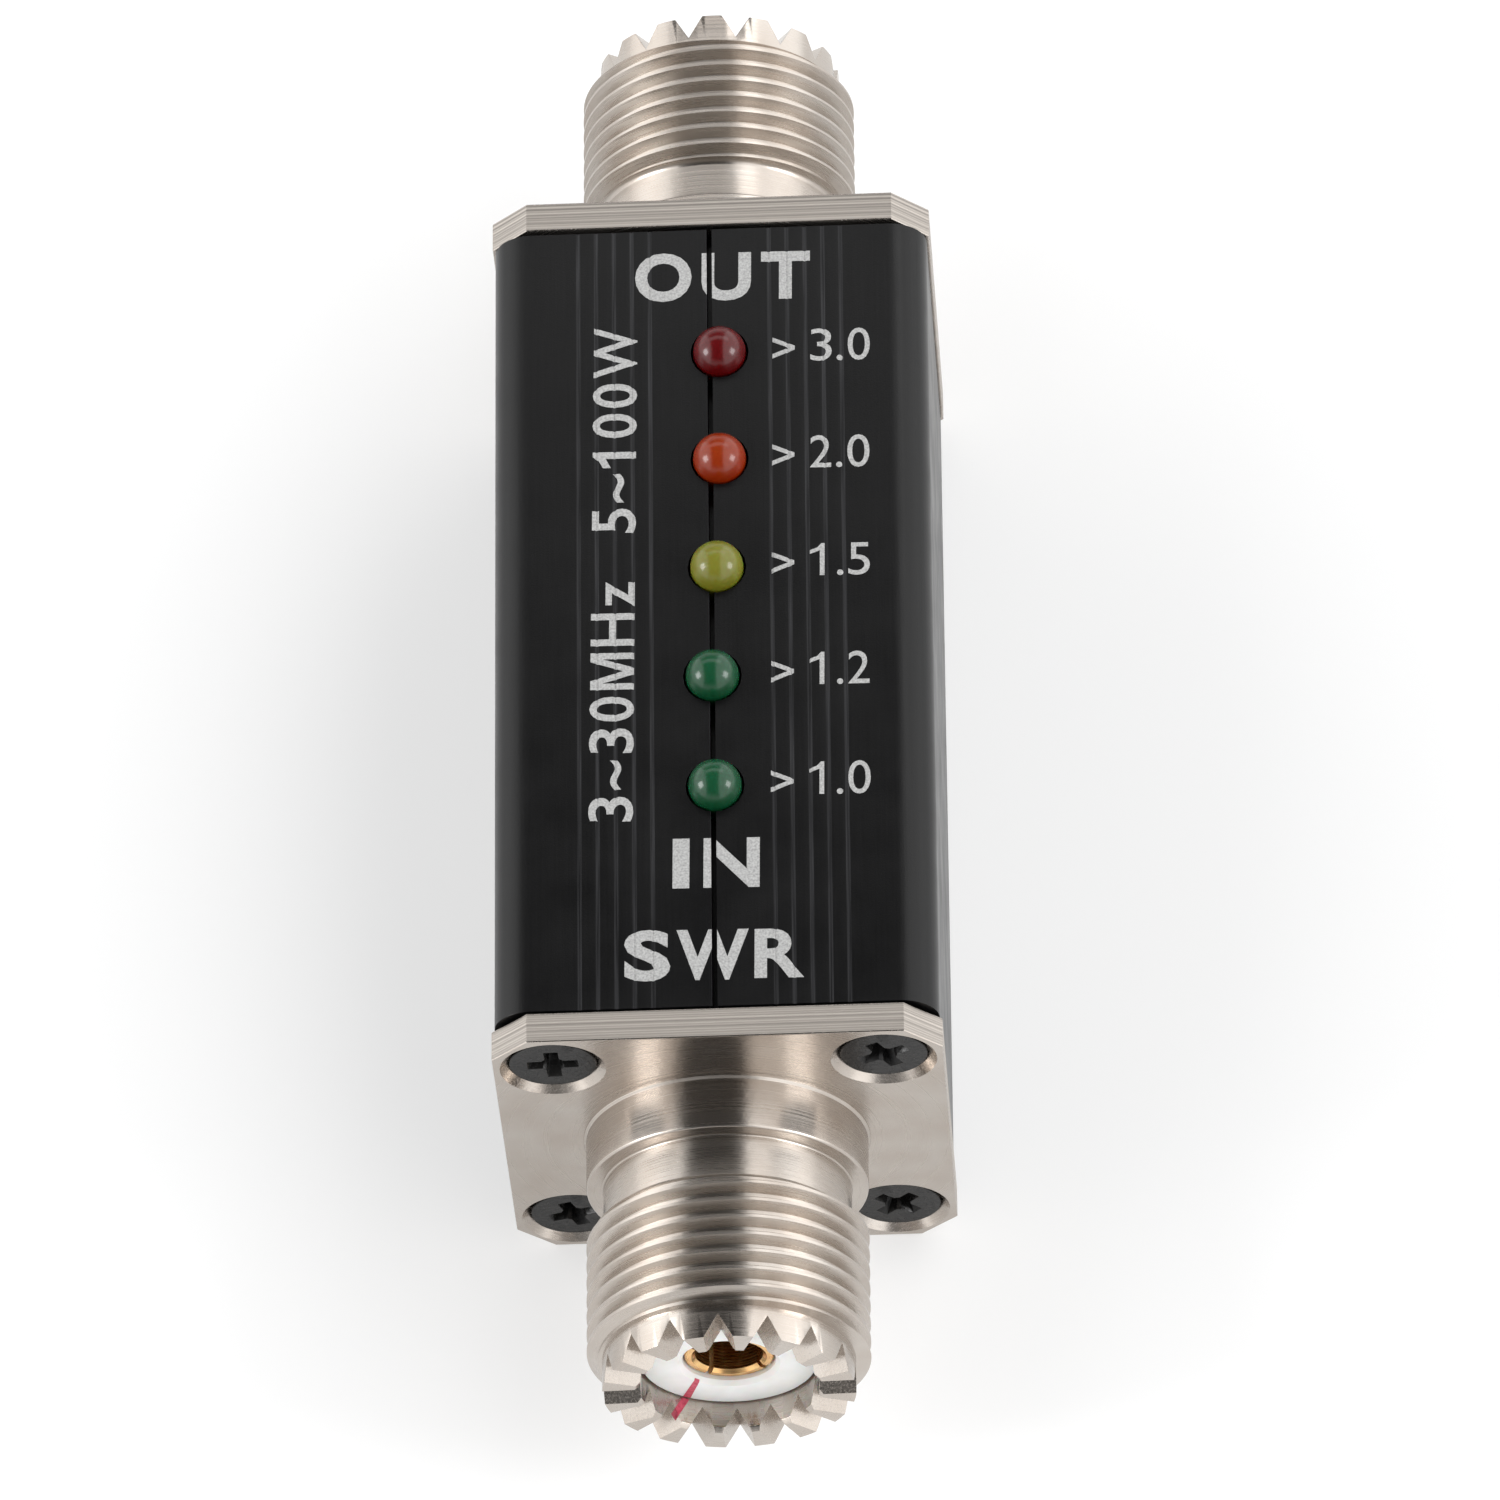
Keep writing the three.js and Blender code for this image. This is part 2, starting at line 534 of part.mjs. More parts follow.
/** Radial electrolytic capacitor hanging from the board by its two pins. */
function storageCapacitor(x, y) {
  const { radius, height, pinRadius, pinSpacing } = CAPACITOR;
  const can = upright(x, y, UNDER - height, UNDER, radius, 20);
  const pinSpots = [-1, 1].map((side) => [x, y + (side * pinSpacing) / 2]);
  const pins = pinSpots.map(([px, py]) =>
    upright(px, py, UNDER - pinSpacing / 2, BOARD_TOP + LEAD_TAIL, pinRadius, 8));
  return { capacitor: join([can, ...pins]), pinSpots };
}

function addBoard(windingEnds) {
  const capacitorX = CAPACITOR_INSET + CAPACITOR.radius - PART_EDGE;
  const { capacitor, pinSpots } = storageCapacitor(capacitorX, VOLTAGE_CORE_Y + CAPACITOR_SPACING);
  addPart('storage_capacitor', capacitor, CAN_SLEEVE);

  const half = HALF_INSIDE - BOARD_SIDE_CLEARANCE;
  const holes = [
    ...lamps.flatMap(({ x, y }) => [-1, 1].map((side) =>
      [x + (side * LAMP_LEAD_SPACING) / 2, y, LAMP_LEAD_SIZE * Math.SQRT1_2])),
    ...pinSpots.map(([x, y]) => [x, y, CAPACITOR.pinRadius]),
    ...windingEnds.map(([x, y]) => [x, y, WIRE_RADIUS]),
    [0, LINE_TAP_Y, TAP_WIRE_RADIUS],
  ].map(([x, y, radius]) => upright(
    x, y, BOARD_BOTTOM - BOARD_THICKNESS, BOARD_TOP + BOARD_THICKNESS, radius + BOARD_HOLE_CLEARANCE, 8));
  const board = block(
    [0, 0, (BOARD_TOP + BOARD_BOTTOM) / 2],
    [half * 2, BOARD_HALF_LENGTH * 2, BOARD_THICKNESS],
  );
  addPart('circuit_board', board.subtract(join(holes)), BOARD_LAMINATE);

  const chipX = CHIP_LEG.reach + CHIP_SIZE[0] / 2 - PART_EDGE;
  addPart('comparator_chip_1', comparatorChip(chipX, CURRENT_CORE_Y + CHIP_SPACING), CHIP_BLACK);
  addPart('comparator_chip_2', comparatorChip(chipX, VOLTAGE_CORE_Y - CHIP_SPACING), CHIP_BLACK);
  const diodeX = PART_EDGE - SMALL_PART_INSET - DIODE.half;
  addPart('forward_diode', glassDiode(diodeX, CURRENT_CORE_Y - DIODE_SPACING[0]), DIODE_GLASS);
  addPart('reflected_diode', glassDiode(diodeX, VOLTAGE_CORE_Y - DIODE_SPACING[1]), DIODE_GLASS);

  const mounted = (x, y, size, level, way) => block([x, y, level + (way * size[2]) / 2], size);
  const loadX = PART_EDGE - LOAD_SIZE[0] / 2;
  const filterX = PART_EDGE - SMALL_PART_INSET - FILTER_SIZE[0] / 2;
  const filterY = [CURRENT_CORE_Y - FILTER_SPACING[0], VOLTAGE_CORE_Y - FILTER_SPACING[1]];
  ['forward', 'reflected'].forEach((way, k) => {
    const load = mounted(loadX, CURRENT_CORE_Y + LOAD_SPACING[k], LOAD_SIZE, UNDER, -1);
    addPart(`${way}_load_resistor`, load, CHIP_BLACK);
    const filter = mounted(filterX, filterY[k], FILTER_SIZE, UNDER, -1);
    addPart(`${way}_filter_capacitor`, filter, CERAMIC);
  });
  lamps.forEach(({ y }, k) => {
    const resistor = mounted(-LAMP_RESISTOR_OFFSET, y, LAMP_RESISTOR_SIZE, ABOVE, 1);
    addPart(`lamp_${k + 1}_resistor`, resistor, CHIP_BLACK);
  });
}

// ---------------------------------------------------------------- through line and transformers

function addThroughLine() {
  const cupFloor = FLANGE_OUTER + CUP_FLOOR;
  const reach = cupFloor - LINE_CUP_GAP;
  addPart('through_line', along(0, 0, -reach, reach, LINE_RADIUS, 12), TINNED);
  const bore = LINE_RADIUS + SLEEVE_CLEARANCE;
  const [y0, y1] = [CURRENT_CORE_Y - SLEEVE_LENGTH / 2, CURRENT_CORE_Y + SLEEVE_LENGTH / 2];
  const sleeve = turned([[bore, y0], [SLEEVE_RADIUS, y0], [SLEEVE_RADIUS, y1], [bore, y1], [bore, y0]], 16);
  addPart('line_sleeve', sleeve, WHITE_PTFE);
  const tap = upright(0, LINE_TAP_Y, LINE_RADIUS + MOUNT_GAP, BOARD_TOP + LEAD_TAIL, TAP_WIRE_RADIUS, 8);
  addPart('line_tap_wire', tap, TINNED);
}

/** Wire wound square round a ring whose axis is Y, with both ends run straight up to endZ. */
class ToroidWinding extends THREE.Curve {
  constructor(endZ) {
    super();
    const gap = WIRE_RADIUS + WIRE_CLEARANCE;
    this.middle = (CORE_OUTER_RADIUS + CORE_INNER_RADIUS) / 2;
    this.deep = (CORE_OUTER_RADIUS - CORE_INNER_RADIUS) / 2 + gap;
    this.wide = CORE_THICKNESS / 2 + gap;
    this.endZ = endZ;
    this.tailSteps = 2;
    this.steps = WINDING_TURNS * 8 + this.tailSteps * 2;
  }

  /** A point of the coil, s from 0 to 1 along it; every eighth of a turn is a corner or a middle. */
  coil(s) {
    const place = Math.PI + radians(WINDING_ARC) * (s - 0.5);
    const loop = Math.PI * 2 * WINDING_TURNS * s;
    const square = 1 / Math.max(Math.abs(Math.cos(loop)), Math.abs(Math.sin(loop)));
    const r = this.middle + this.deep * Math.cos(loop) * square;
    const y = this.wide * Math.sin(loop) * square;
    return new THREE.Vector3(r * Math.sin(place), y, r * Math.cos(place));
  }

  /** Even in t, so that every step of the extrusion lands on a corner or a middle. */
  getUtoTmapping(u) {
    return u;
  }

  getPoint(t, target = new THREE.Vector3()) {
    const tail = this.tailSteps / this.steps;
    target.copy(this.coil(THREE.MathUtils.clamp((t - tail) / (1 - 2 * tail), 0, 1)));
    const rise = Math.max(tail - t, t - 1 + tail, 0) / tail;
    target.z += (this.endZ - target.z) * rise;
    return target;
  }
}

/** Ferrite ring and its winding; the ring's axis is turned by `turn` degrees from Y. */
function addTransformer(name, x, y, turn) {
  const core = turned([
    [CORE_INNER_RADIUS, -CORE_THICKNESS / 2], [CORE_OUTER_RADIUS, -CORE_THICKNESS / 2],
    [CORE_OUTER_RADIUS, CORE_THICKNESS / 2], [CORE_INNER_RADIUS, CORE_THICKNESS / 2],
    [CORE_INNER_RADIUS, -CORE_THICKNESS / 2],
  ], 24);
  const path = new ToroidWinding(BOARD_TOP + LEAD_TAIL + CORE_DROP);
  const wire = new THREE.Shape().absarc(0, 0, WIRE_RADIUS, 0, Math.PI * 2, false);
  const winding = solid(new THREE.ExtrudeGeometry(wire, {
    extrudePath: path, steps: path.steps, curveSegments: 3, bevelEnabled: false,
  }));
  const place = (part) => part.rotate([0, 0, turn]).translate([x, y, -CORE_DROP]);
  addPart(`${name}_core`, place(core), FERRITE);
  addPart(`${name}_winding`, place(winding), ENAMELLED_WIRE);
  const swing = radians(turn);
  return [path.coil(0), path.coil(1)].map((end) => [
    x + end.x * Math.cos(swing) - end.y * Math.sin(swing),
    y + end.x * Math.sin(swing) + end.y * Math.cos(swing),
  ]);
}

// ---------------------------------------------------------------- the whole meter

buildHousing();
addSocket('in', -IN_NOTCH_TURN);
addSocket('out', OUT_NOTCH_TURN);
lamps.forEach((lamp, k) => addLamp(lamp, k + 1));
addThroughLine();
const windingEnds = [
  ...addTransformer('current_transformer', 0, CURRENT_CORE_Y, 0),
  ...addTransformer('voltage_transformer', VOLTAGE_CORE_X, VOLTAGE_CORE_Y, 90),
];
addBoard(windingEnds);

export default meter;
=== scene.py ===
# Inline standing-wave-ratio meter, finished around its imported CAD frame.
# Metres, +Z up. +Y runs along the line from the IN socket to the OUT socket, and the five
# lamps look up +Z. Sizes are written in millimetres times MM.

import math

import bpy
from mathutils import Matrix, Vector


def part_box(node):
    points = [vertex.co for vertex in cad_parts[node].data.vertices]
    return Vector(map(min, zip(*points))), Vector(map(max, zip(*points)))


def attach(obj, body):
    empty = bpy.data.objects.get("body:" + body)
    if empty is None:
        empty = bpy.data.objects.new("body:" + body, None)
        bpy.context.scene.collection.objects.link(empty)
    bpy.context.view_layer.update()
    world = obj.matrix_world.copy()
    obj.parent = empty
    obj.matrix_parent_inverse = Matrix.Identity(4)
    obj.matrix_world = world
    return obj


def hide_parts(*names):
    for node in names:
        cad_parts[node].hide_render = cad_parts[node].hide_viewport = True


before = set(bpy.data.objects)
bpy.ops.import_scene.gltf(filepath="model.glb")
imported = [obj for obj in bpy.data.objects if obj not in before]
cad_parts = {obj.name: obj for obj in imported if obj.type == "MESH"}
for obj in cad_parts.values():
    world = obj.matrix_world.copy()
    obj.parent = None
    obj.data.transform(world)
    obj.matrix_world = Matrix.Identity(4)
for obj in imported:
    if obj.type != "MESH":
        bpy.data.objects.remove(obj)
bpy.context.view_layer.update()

MM = 0.001

# ---------------------------------------------------------------- sizes

MERGE = 0.001 * MM                # points closer than this become one
ROUND_STEPS = 4                   # faces of a small rounded corner
FINE_STEPS = 128                  # faces round the barrel, and round smaller turned pieces
MEDIUM_STEPS = 96
SMALL_STEPS = 64
FUNNEL_STEPS = 24
LETTER_STEPS = 5                  # lines of each curve in a letter's outline

# housing, measured off its CAD halves
LEFT_LOW, LEFT_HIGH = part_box("left_half_shell")
HOUSING_TOP = LEFT_HIGH.z
AXIS_HEIGHT = (LEFT_LOW.z + LEFT_HIGH.z) / 2
EDGE_BREAK = 0.07 * MM            # softened edges of the anodised halves
GROOVE_ZONE = 8.0 * MM            # the fine grooves lie this close to the middle
GROOVE_REACH = 0.1 * MM           # and no deeper than this
GROOVE_SLOPE = (0.3, 0.7)         # how far their walls lean, as the normal's x

# flange
SOCKET_LOW, SOCKET_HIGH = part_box("out_socket_shell")
FLANGE_HALF = (SOCKET_HIGH.x - SOCKET_LOW.x) / 2
FLANGE_THICKNESS = 1.8 * MM
FLANGE_FACE = SOCKET_LOW.y + FLANGE_THICKNESS
FLANGE_CHAMFER = 2.07 * MM
FLANGE_EDGE_BREAK = 0.08 * MM
MILLED_REACH = 0.3 * MM           # the milled finish starts this far inside the cut corners
SCREW_OFFSET = 9.18 * MM

# socket barrel, lengths from the flange's outer face
BARREL_LENGTH = SOCKET_HIGH.y - FLANGE_FACE
COLLAR_RADIUS = 7.9 * MM
COLLAR_LENGTH = 3.2 * MM
COLLAR_FOOT = 0.14 * MM           # small step where the collar meets the flange
COLLAR_ROUND = 0.16 * MM
NECK_RADIUS = 6.95 * MM
NECK_END = 5.8 * MM
NECK_ROUND = (0.1 * MM, 0.2 * MM)     # its inner corners, at the collar and at the thread
THREAD_RADIUS = 7.9 * MM
THREAD_PITCH = 25.4 / 24 * MM
THREAD_DEPTH = 0.6 * MM
THREAD_ROOT_FLAT = 0.2 * MM
THREAD_CUT_OVER = 0.06 * MM       # the cutter stands this far out of the crests
THREAD_HALF_ANGLE = math.radians(30)
THREAD_START = 6.25 * MM
THREAD_TURNS = 7
THREAD_STEP = 0.12 * MM           # step down from the last crest to the ring
THREAD_END = THREAD_START + THREAD_TURNS * THREAD_PITCH
RING_RADIUS = 7.05 * MM
RING_SUNK = 0.5 * MM              # how far the ring reaches into the barrel
MOUTH_RADIUS = 5.0 * MM
MOUTH_BEVEL = 0.25 * MM
TOOTH_COUNT = 16
TOOTH_DEPTH = 1.4 * MM
TOOTH_GAP = 1.62 * MM
TOOTH_EDGE_BREAK = 0.05 * MM
NOTCH_CUT_OVER = 0.6 * MM         # the cutter passes the tips and the ring's outside by this
NOTCH_CUT_UNDER = 2.0 * MM        # and its inside by this
NOTCH_TURN = {"in": math.radians(-2), "out": math.radians(11.25)}   # from the top to a notch

# screws
SCREW_HEAD_RADIUS = 2.55 * MM
SCREW_HEAD_RIM = 0.15 * MM
SCREW_HEAD_EDGE = 0.1 * MM        # the rim draws in by this at the top
SCREW_HEAD_ROUND = 0.08 * MM
SCREW_EDGE_BREAK = 0.04 * MM
SCREW_RADIUS = 1.5 * MM
SCREW_LENGTH = 8.0 * MM
SCREW_SUNK = 0.3 * MM
SCREW_CLEARANCE = 0.1 * MM
COUNTERSINK_LIP = 0.12 * MM       # the cutter stands this far out of the flange
RECESS_SPAN = 3.2 * MM
RECESS_WIDTH = 0.85 * MM
RECESS_DEPTH = 1.3 * MM
RECESS_CUT_OVER = RECESS_DEPTH * 0.2      # its cutters stand this far out of the head
RECESS_TAPER = (0.35, 1, 0.6)     # an arm's floor against its opening
FUNNEL_RADII = (0.75 * MM, 0.4 * MM)      # the recess's middle, at the top and at its floor
FUNNEL_CUT_OVER = 0.1 * MM
FUNNEL_DEPTH = RECESS_DEPTH * 1.3
SCREW_TURNS = {"in": (28, 2, 20, 48), "out": (15, 70, 40, 85)}     # degrees, corner by corner

# insulator and centre contact
INSULATOR_RADIUS = 4.9 * MM
INSULATOR_FACE = BARREL_LENGTH - 1.75 * MM
INSULATOR_LEAD = 0.25 * MM
INSULATOR_ROUND = 0.12 * MM
HUB_RADIUS = 3.4 * MM             # the insulator's back, inside the housing
HUB_LENGTH = 2.0 * MM
CONTACT_FACE = INSULATOR_FACE - 0.4 * MM
CONTACT_RADIUS = 2.5 * MM
CONTACT_LEAD = 0.2 * MM
CONTACT_ROUND = 0.15 * MM
CONTACT_BORE = 1.9 * MM
CONTACT_BORE_DEPTH = 8.5 * MM
DRILL_POINT = 0.4 * MM
CONTACT_LENGTH = 9.5 * MM
CONTACT_HOLE_CLEARANCE = 0.1 * MM
STEM_RADIUS = 1.5 * MM
CUP_BORE = 1.05 * MM              # half-open solder cup
CUP_LENGTH = 3.0 * MM
CUP_GAP = 0.1 * MM                # from the insulator's back
SLIT_WIDTH = 0.3 * MM
SLIT_DEPTH = 6.0 * MM
SLIT_TURN = {"in": math.radians(34), "out": math.radians(56)}

# lamps
LAMP_RADIUS = 1.5 * MM
LAMP_FLANGE_RADIUS = 1.9 * MM
LAMP_FLANGE_HEIGHT = 1.0 * MM
DOME_STEPS = 16
LAMP_TINTS = ("green", "green", "yellow", "orange", "red")
LAMP_LIMITS = ("1.0", "1.2", "1.5", "2.0", "3.0")

# printed legends on the top face
PRINT_THICKNESS = 0.012 * MM
PRINT_REACH = 0.35 * MM           # how deep the print follows the grooves
PRINT_TURN = math.radians(-0.7)   # the print sits a little askew
TITLE_CAPS = 3.13 * MM
TITLE_CELLS = {"O": 1.03, "U": 0.9, "T": 0.89, "I": 0.3, "N": 1.0, "S": 0.82, "W": 1.28, "R": 0.88}
TITLE_BOLDNESS = 0.035
TITLES = (                        # piece, text, left, bottom, gap
    ("legend_out", "OUT", -4.5 * MM, 20.3 * MM, 0.57 * MM),
    ("legend_in", "IN", -2.1 * MM, -17.6 * MM, 0.78 * MM),
    ("legend_title", "SWR", -4.75 * MM, -23.35 * MM, 0.33 * MM),
)
RATING_CAPS = 2.45 * MM
RATING_BASELINE = -4.35 * MM
RATING_CELLS = {"0": 0.64, "1": 0.64, "3": 0.64, "5": 0.64, "~": 0.76,
                "W": 1.34, "M": 0.96, "H": 0.85, "z": 0.64}
RATING_BOLDNESS = 0.012
RATINGS = (                       # piece, text, start, gap
    ("legend_power", "5~100W", 5.2 * MM, 0.40 * MM),
    ("legend_band", "3~30MHz", -13.3 * MM, 0.46 * MM),
)
SCALE_CAPS = 2.06 * MM
SCALE_CELLS = {"0": 0.61, "1": 0.61, "2": 0.58, "3": 0.59, "5": 0.59, ".": 0.17}
SCALE_BOLDNESS = 0.0
SCALE_GAP = 0.28 * MM
ONE_SHARE = 0.66                  # a 1 is this much of its cell
R_BOLDNESS = 0.028                # its corners close up when it is drawn bolder
PLAIN_OUTLINES = {                # drawn in a unit box
    "1": [(0.58, 0), (1, 0), (1, 1), (0.7, 1), (0.45, 0.86), (0, 0.76), (0, 0.58), (0.58, 0.7)],
    "slim 1": [(0.68, 0), (1, 0), (1, 1), (0.78, 1), (0.5, 0.87), (0, 0.79), (0, 0.67), (0.68, 0.78)],
    "M": [(0, 0), (0.17, 0), (0.17, 0.72), (0.41, 0), (0.59, 0), (0.83, 0.72), (0.83, 0), (1, 0),
          (1, 1), (0.76, 1), (0.5, 0.25), (0.24, 1), (0, 1)],
}
SCALE_MARK_LEFT = 3.35 * MM
SCALE_MARK_SIZE = (1.27 * MM, 1.38 * MM)
SCALE_MARK_BOLDNESS = 0.01
SCALE_DIGITS_LEFT = 5.5 * MM
SCALE_RISE = 0.2 * MM             # above the lamp's middle
DIGITS_RISE = 0.36 * MM

# red pen stroke on the IN socket
PEN_TURN = math.radians(198.7)    # from the top towards +x
PEN_START = 1.9 * MM              # along the stroke, from beside the axis
PEN_END = 4.86 * MM
PEN_ASIDE = 1.15 * MM
PEN_WIDTH = 0.46 * MM
PEN_START_SHARE = 0.6             # it starts this much of its width wide
PEN_RISE = 1.45 * MM              # how far the stroke climbs the ring's inner wall
PEN_LEAN = 0.85 * MM              # sideways on that climb
PEN_THICKNESS = 0.015 * MM
PEN_CUT_OVER = 0.1 * MM           # the bars it is cut from pass the surface by this
PEN_CUT_UNDER = 1.0 * MM

# camera
CAMERA_ELEVATION = math.radians(61.2488)
CAMERA_TILT = Vector((0, 0.042, -0.0324))     # small turn about its own axes
CAMERA_DISTANCE = 747.67 * MM
AIM_OFFSET = (-1.4942 * MM, 1.8554 * MM)      # the housing's middle, right and up in view
LENS = 314.98                     # mm
SENSOR = 36                       # mm
CAMERA_REACH = 20                 # metres, past the far edge of the floor

# lights, floor and surroundings
LIGHTS = (                        # name, place, size, watts, what it points at
    ("left_softbox", (-0.50, -0.10, 0.28), (0.22, 0.22), 1.6, (0, 0, 0)),
    ("right_softbox", (0.50, -0.10, 0.28), (0.22, 0.22), 1.3, (0, 0, 0)),
    ("far_card", (0, 0.16, 0.20), (0.30, 0.07), 0.10, (0, 0.035, AXIS_HEIGHT)),
)
FLOOR_SIZE = 8
FLOOR_TONES = ((0.60, 0.60, 0.60), (0.59, 0.59, 0.59))
FLOOR_CLOUD = 0.5                 # metres across
FLOOR_GLOW = 0.35
STRIP_MIDDLE = 0.13               # how far the dark overhead strip sits to the left, as a sine
STRIP_HALF = 0.43                 # its half width, as a sine
STRIP_BLUR = 0.08
STRIP_LIGHT = 0.06
SIDE_LIGHT = 1.85
HORIZON_LIGHT = 0.9
HORIZON_RISE = (0.15, 0.55)       # where the strip fades to it, as sines above the horizon

# ---------------------------------------------------------------- shaping helpers


def pick(piece):
    """Selects just this piece and makes it the active one."""
    bpy.ops.object.select_all(action="DESELECT")
    piece.select_set(True)
    bpy.context.view_layer.objects.active = piece


def settle(piece, name=None):
    """Writes the object's place into its mesh."""
    pick(piece)
    bpy.ops.object.transform_apply(location=True, rotation=True, scale=True)
    if name:
        piece.name = name
        piece.data.name = name
    return piece


def edit(piece, kind="VERT"):
    """Enters edit mode with the whole piece selected."""
    pick(piece)
    bpy.ops.object.mode_set(mode="EDIT")
    bpy.ops.mesh.select_mode(type=kind)
    bpy.ops.mesh.select_all(action="SELECT")


def leave():
    bpy.ops.object.mode_set(mode="OBJECT")


def drawn_line(name, points, rounding=()):
    """One vertex pulled from point to point; rounding pairs a point's number with a radius."""
    bpy.ops.object.select_all(action="DESELECT")
    bpy.ops.mesh.primitive_plane_add(size=MM)
    line = settle(bpy.context.object, name)
    edit(line)
    bpy.ops.mesh.merge(type="CENTER")
    bpy.ops.transform.translate(value=points[0])
    for here, there in zip(points, points[1:]):
        bpy.ops.mesh.extrude_vertices_move(TRANSFORM_OT_translate={"value": there - here})
    for number, radius in rounding:
        select_vertices(line, lambda spot: (spot - points[number]).length < MERGE)
        bpy.ops.mesh.bevel(affect="VERTICES", offset=radius, segments=ROUND_STEPS)
    bpy.ops.mesh.select_all(action="SELECT")
    return line


def select_vertices(piece, wanted):
    """In edit mode, selects just the vertices whose place passes the test."""
    leave()
    for vertex in piece.data.vertices:
        vertex.select = wanted(vertex.co)
    for edge in piece.data.edges:
        edge.select = all(piece.data.vertices[v].select for v in edge.vertices)
    for face in piece.data.polygons:
        face.select = all(piece.data.vertices[v].select for v in face.vertices)
    bpy.ops.object.mode_set(mode="EDIT")


def turned(name, profile, steps, rounding=()):
    """A solid turned about the Y axis from (radius, y) pairs."""
    points = [Vector((radius, y, 0)) for radius, y in profile]
    piece = drawn_line(name, points, rounding)
    bpy.ops.mesh.spin(steps=steps, angle=math.tau, center=(0, 0, 0), axis=(0, 1, 0))
    close_up()
    return piece


def close_up():
    """In edit mode, merges what coincides, turns the faces outwards and leaves edit mode."""
    bpy.ops.mesh.select_all(action="SELECT")
    bpy.ops.mesh.remove_doubles(threshold=MERGE)
    bpy.ops.mesh.normals_make_consistent(inside=False)
    leave()


def merge_flat(piece, limit):
    """Makes one face of neighbours that lie in one plane, to within so many degrees."""
    edit(piece)
    bpy.ops.mesh.dissolve_limited(angle_limit=math.radians(limit))
    close_up()


def drawn_bar(name, outline, reach):
    """An outline of points, filled and pulled along a vector."""
    piece = drawn_line(name, outline)
    bpy.ops.mesh.edge_face_add()
    bpy.ops.mesh.extrude_region_move(TRANSFORM_OT_translate={"value": reach})
    close_up()
    return piece


def block(name, low, high):
    """A box between two corners."""
    bpy.ops.object.select_all(action="DESELECT")
    size = Vector(high) - Vector(low)
    bpy.ops.mesh.primitive_cube_add(size=1, location=(Vector(low) + Vector(high)) / 2, scale=size)
    return settle(bpy.context.object, name)


def combine(piece, tool, operation="DIFFERENCE", keep=False):
    """Cuts, joins or keeps the common part of two solids, then removes the second one."""
    bpy.context.view_layer.update()
    modifier = piece.modifiers.new(operation.lower(), "BOOLEAN")
    modifier.operation = operation
    modifier.solver = "MANIFOLD"
    modifier.object = tool
    pick(piece)
    bpy.ops.object.modifier_apply(modifier=modifier.name)
    if not keep:
        bpy.data.objects.remove(tool)


def soften(piece, width, limit):
    """Rounds every edge that turns by more than the limit, in degrees."""
    modifier = piece.modifiers.new("softened", "BEVEL")
    modifier.width = width
    modifier.segments = 2
    modifier.limit_method = "ANGLE"
    modifier.angle_limit = math.radians(limit)
    modifier.use_clamp_overlap = True
    pick(piece)
    bpy.ops.object.modifier_apply(modifier=modifier.name)


def smooth(piece, limit=30):
    """Smooth shading that keeps large faces flat and edges over the limit sharp."""
    pick(piece)
    bpy.ops.object.shade_smooth_by_angle(angle=math.radians(limit))
    weighted = piece.modifiers.new("weighted", "WEIGHTED_NORMAL")
    weighted.keep_sharp = True
    bpy.ops.object.modifier_apply(modifier=weighted.name)


def duplicate(piece, name):
    """A copy with its own mesh."""
    twin = bpy.data.objects.new(name, piece.data.copy())
    twin.data.name = name
    bpy.context.scene.collection.objects.link(twin)
    return twin


def move(piece, where, turn):
    """Turns about the Y axis, then moves."""
    piece.matrix_world = Matrix.Translation(where) @ Matrix.Rotation(turn, 4, "Y")
    settle(piece)


def facing(piece, end):
    """Takes a piece built on the origin, looking along +Y, to its end of the meter."""
    turn = Matrix.Rotation(math.pi, 4, "Z") if end == "in" else Matrix.Identity(4)
    y = -FLANGE_FACE if end == "in" else FLANGE_FACE
    piece.matrix_world = Matrix.Translation((0, y, AXIS_HEIGHT)) @ turn
    settle(piece)


def turn_before_facing(turns, end):
    """An end's turn, reversed where facing its end will reverse it."""
    return -turns[end] if end == "in" else turns[end]


def give_materials(piece, *materials):
    """Replaces the piece's materials; its faces pick one by number."""
    piece.data.materials.clear()
    for material in materials:
        piece.data.materials.append(material)


def hand_in(piece, material, slot, *nodes):
    """Gives a finished piece its material, its body and the nodes it stands for; the slot argument is
    not used.
    """
    # a cutter without a material leaves an empty slot behind
    if None in piece.data.materials[:] or not piece.data.materials:
        give_materials(piece, material)
    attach(piece, "root")
    if nodes:
        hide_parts(*nodes)


# ---------------------------------------------------------------- materials


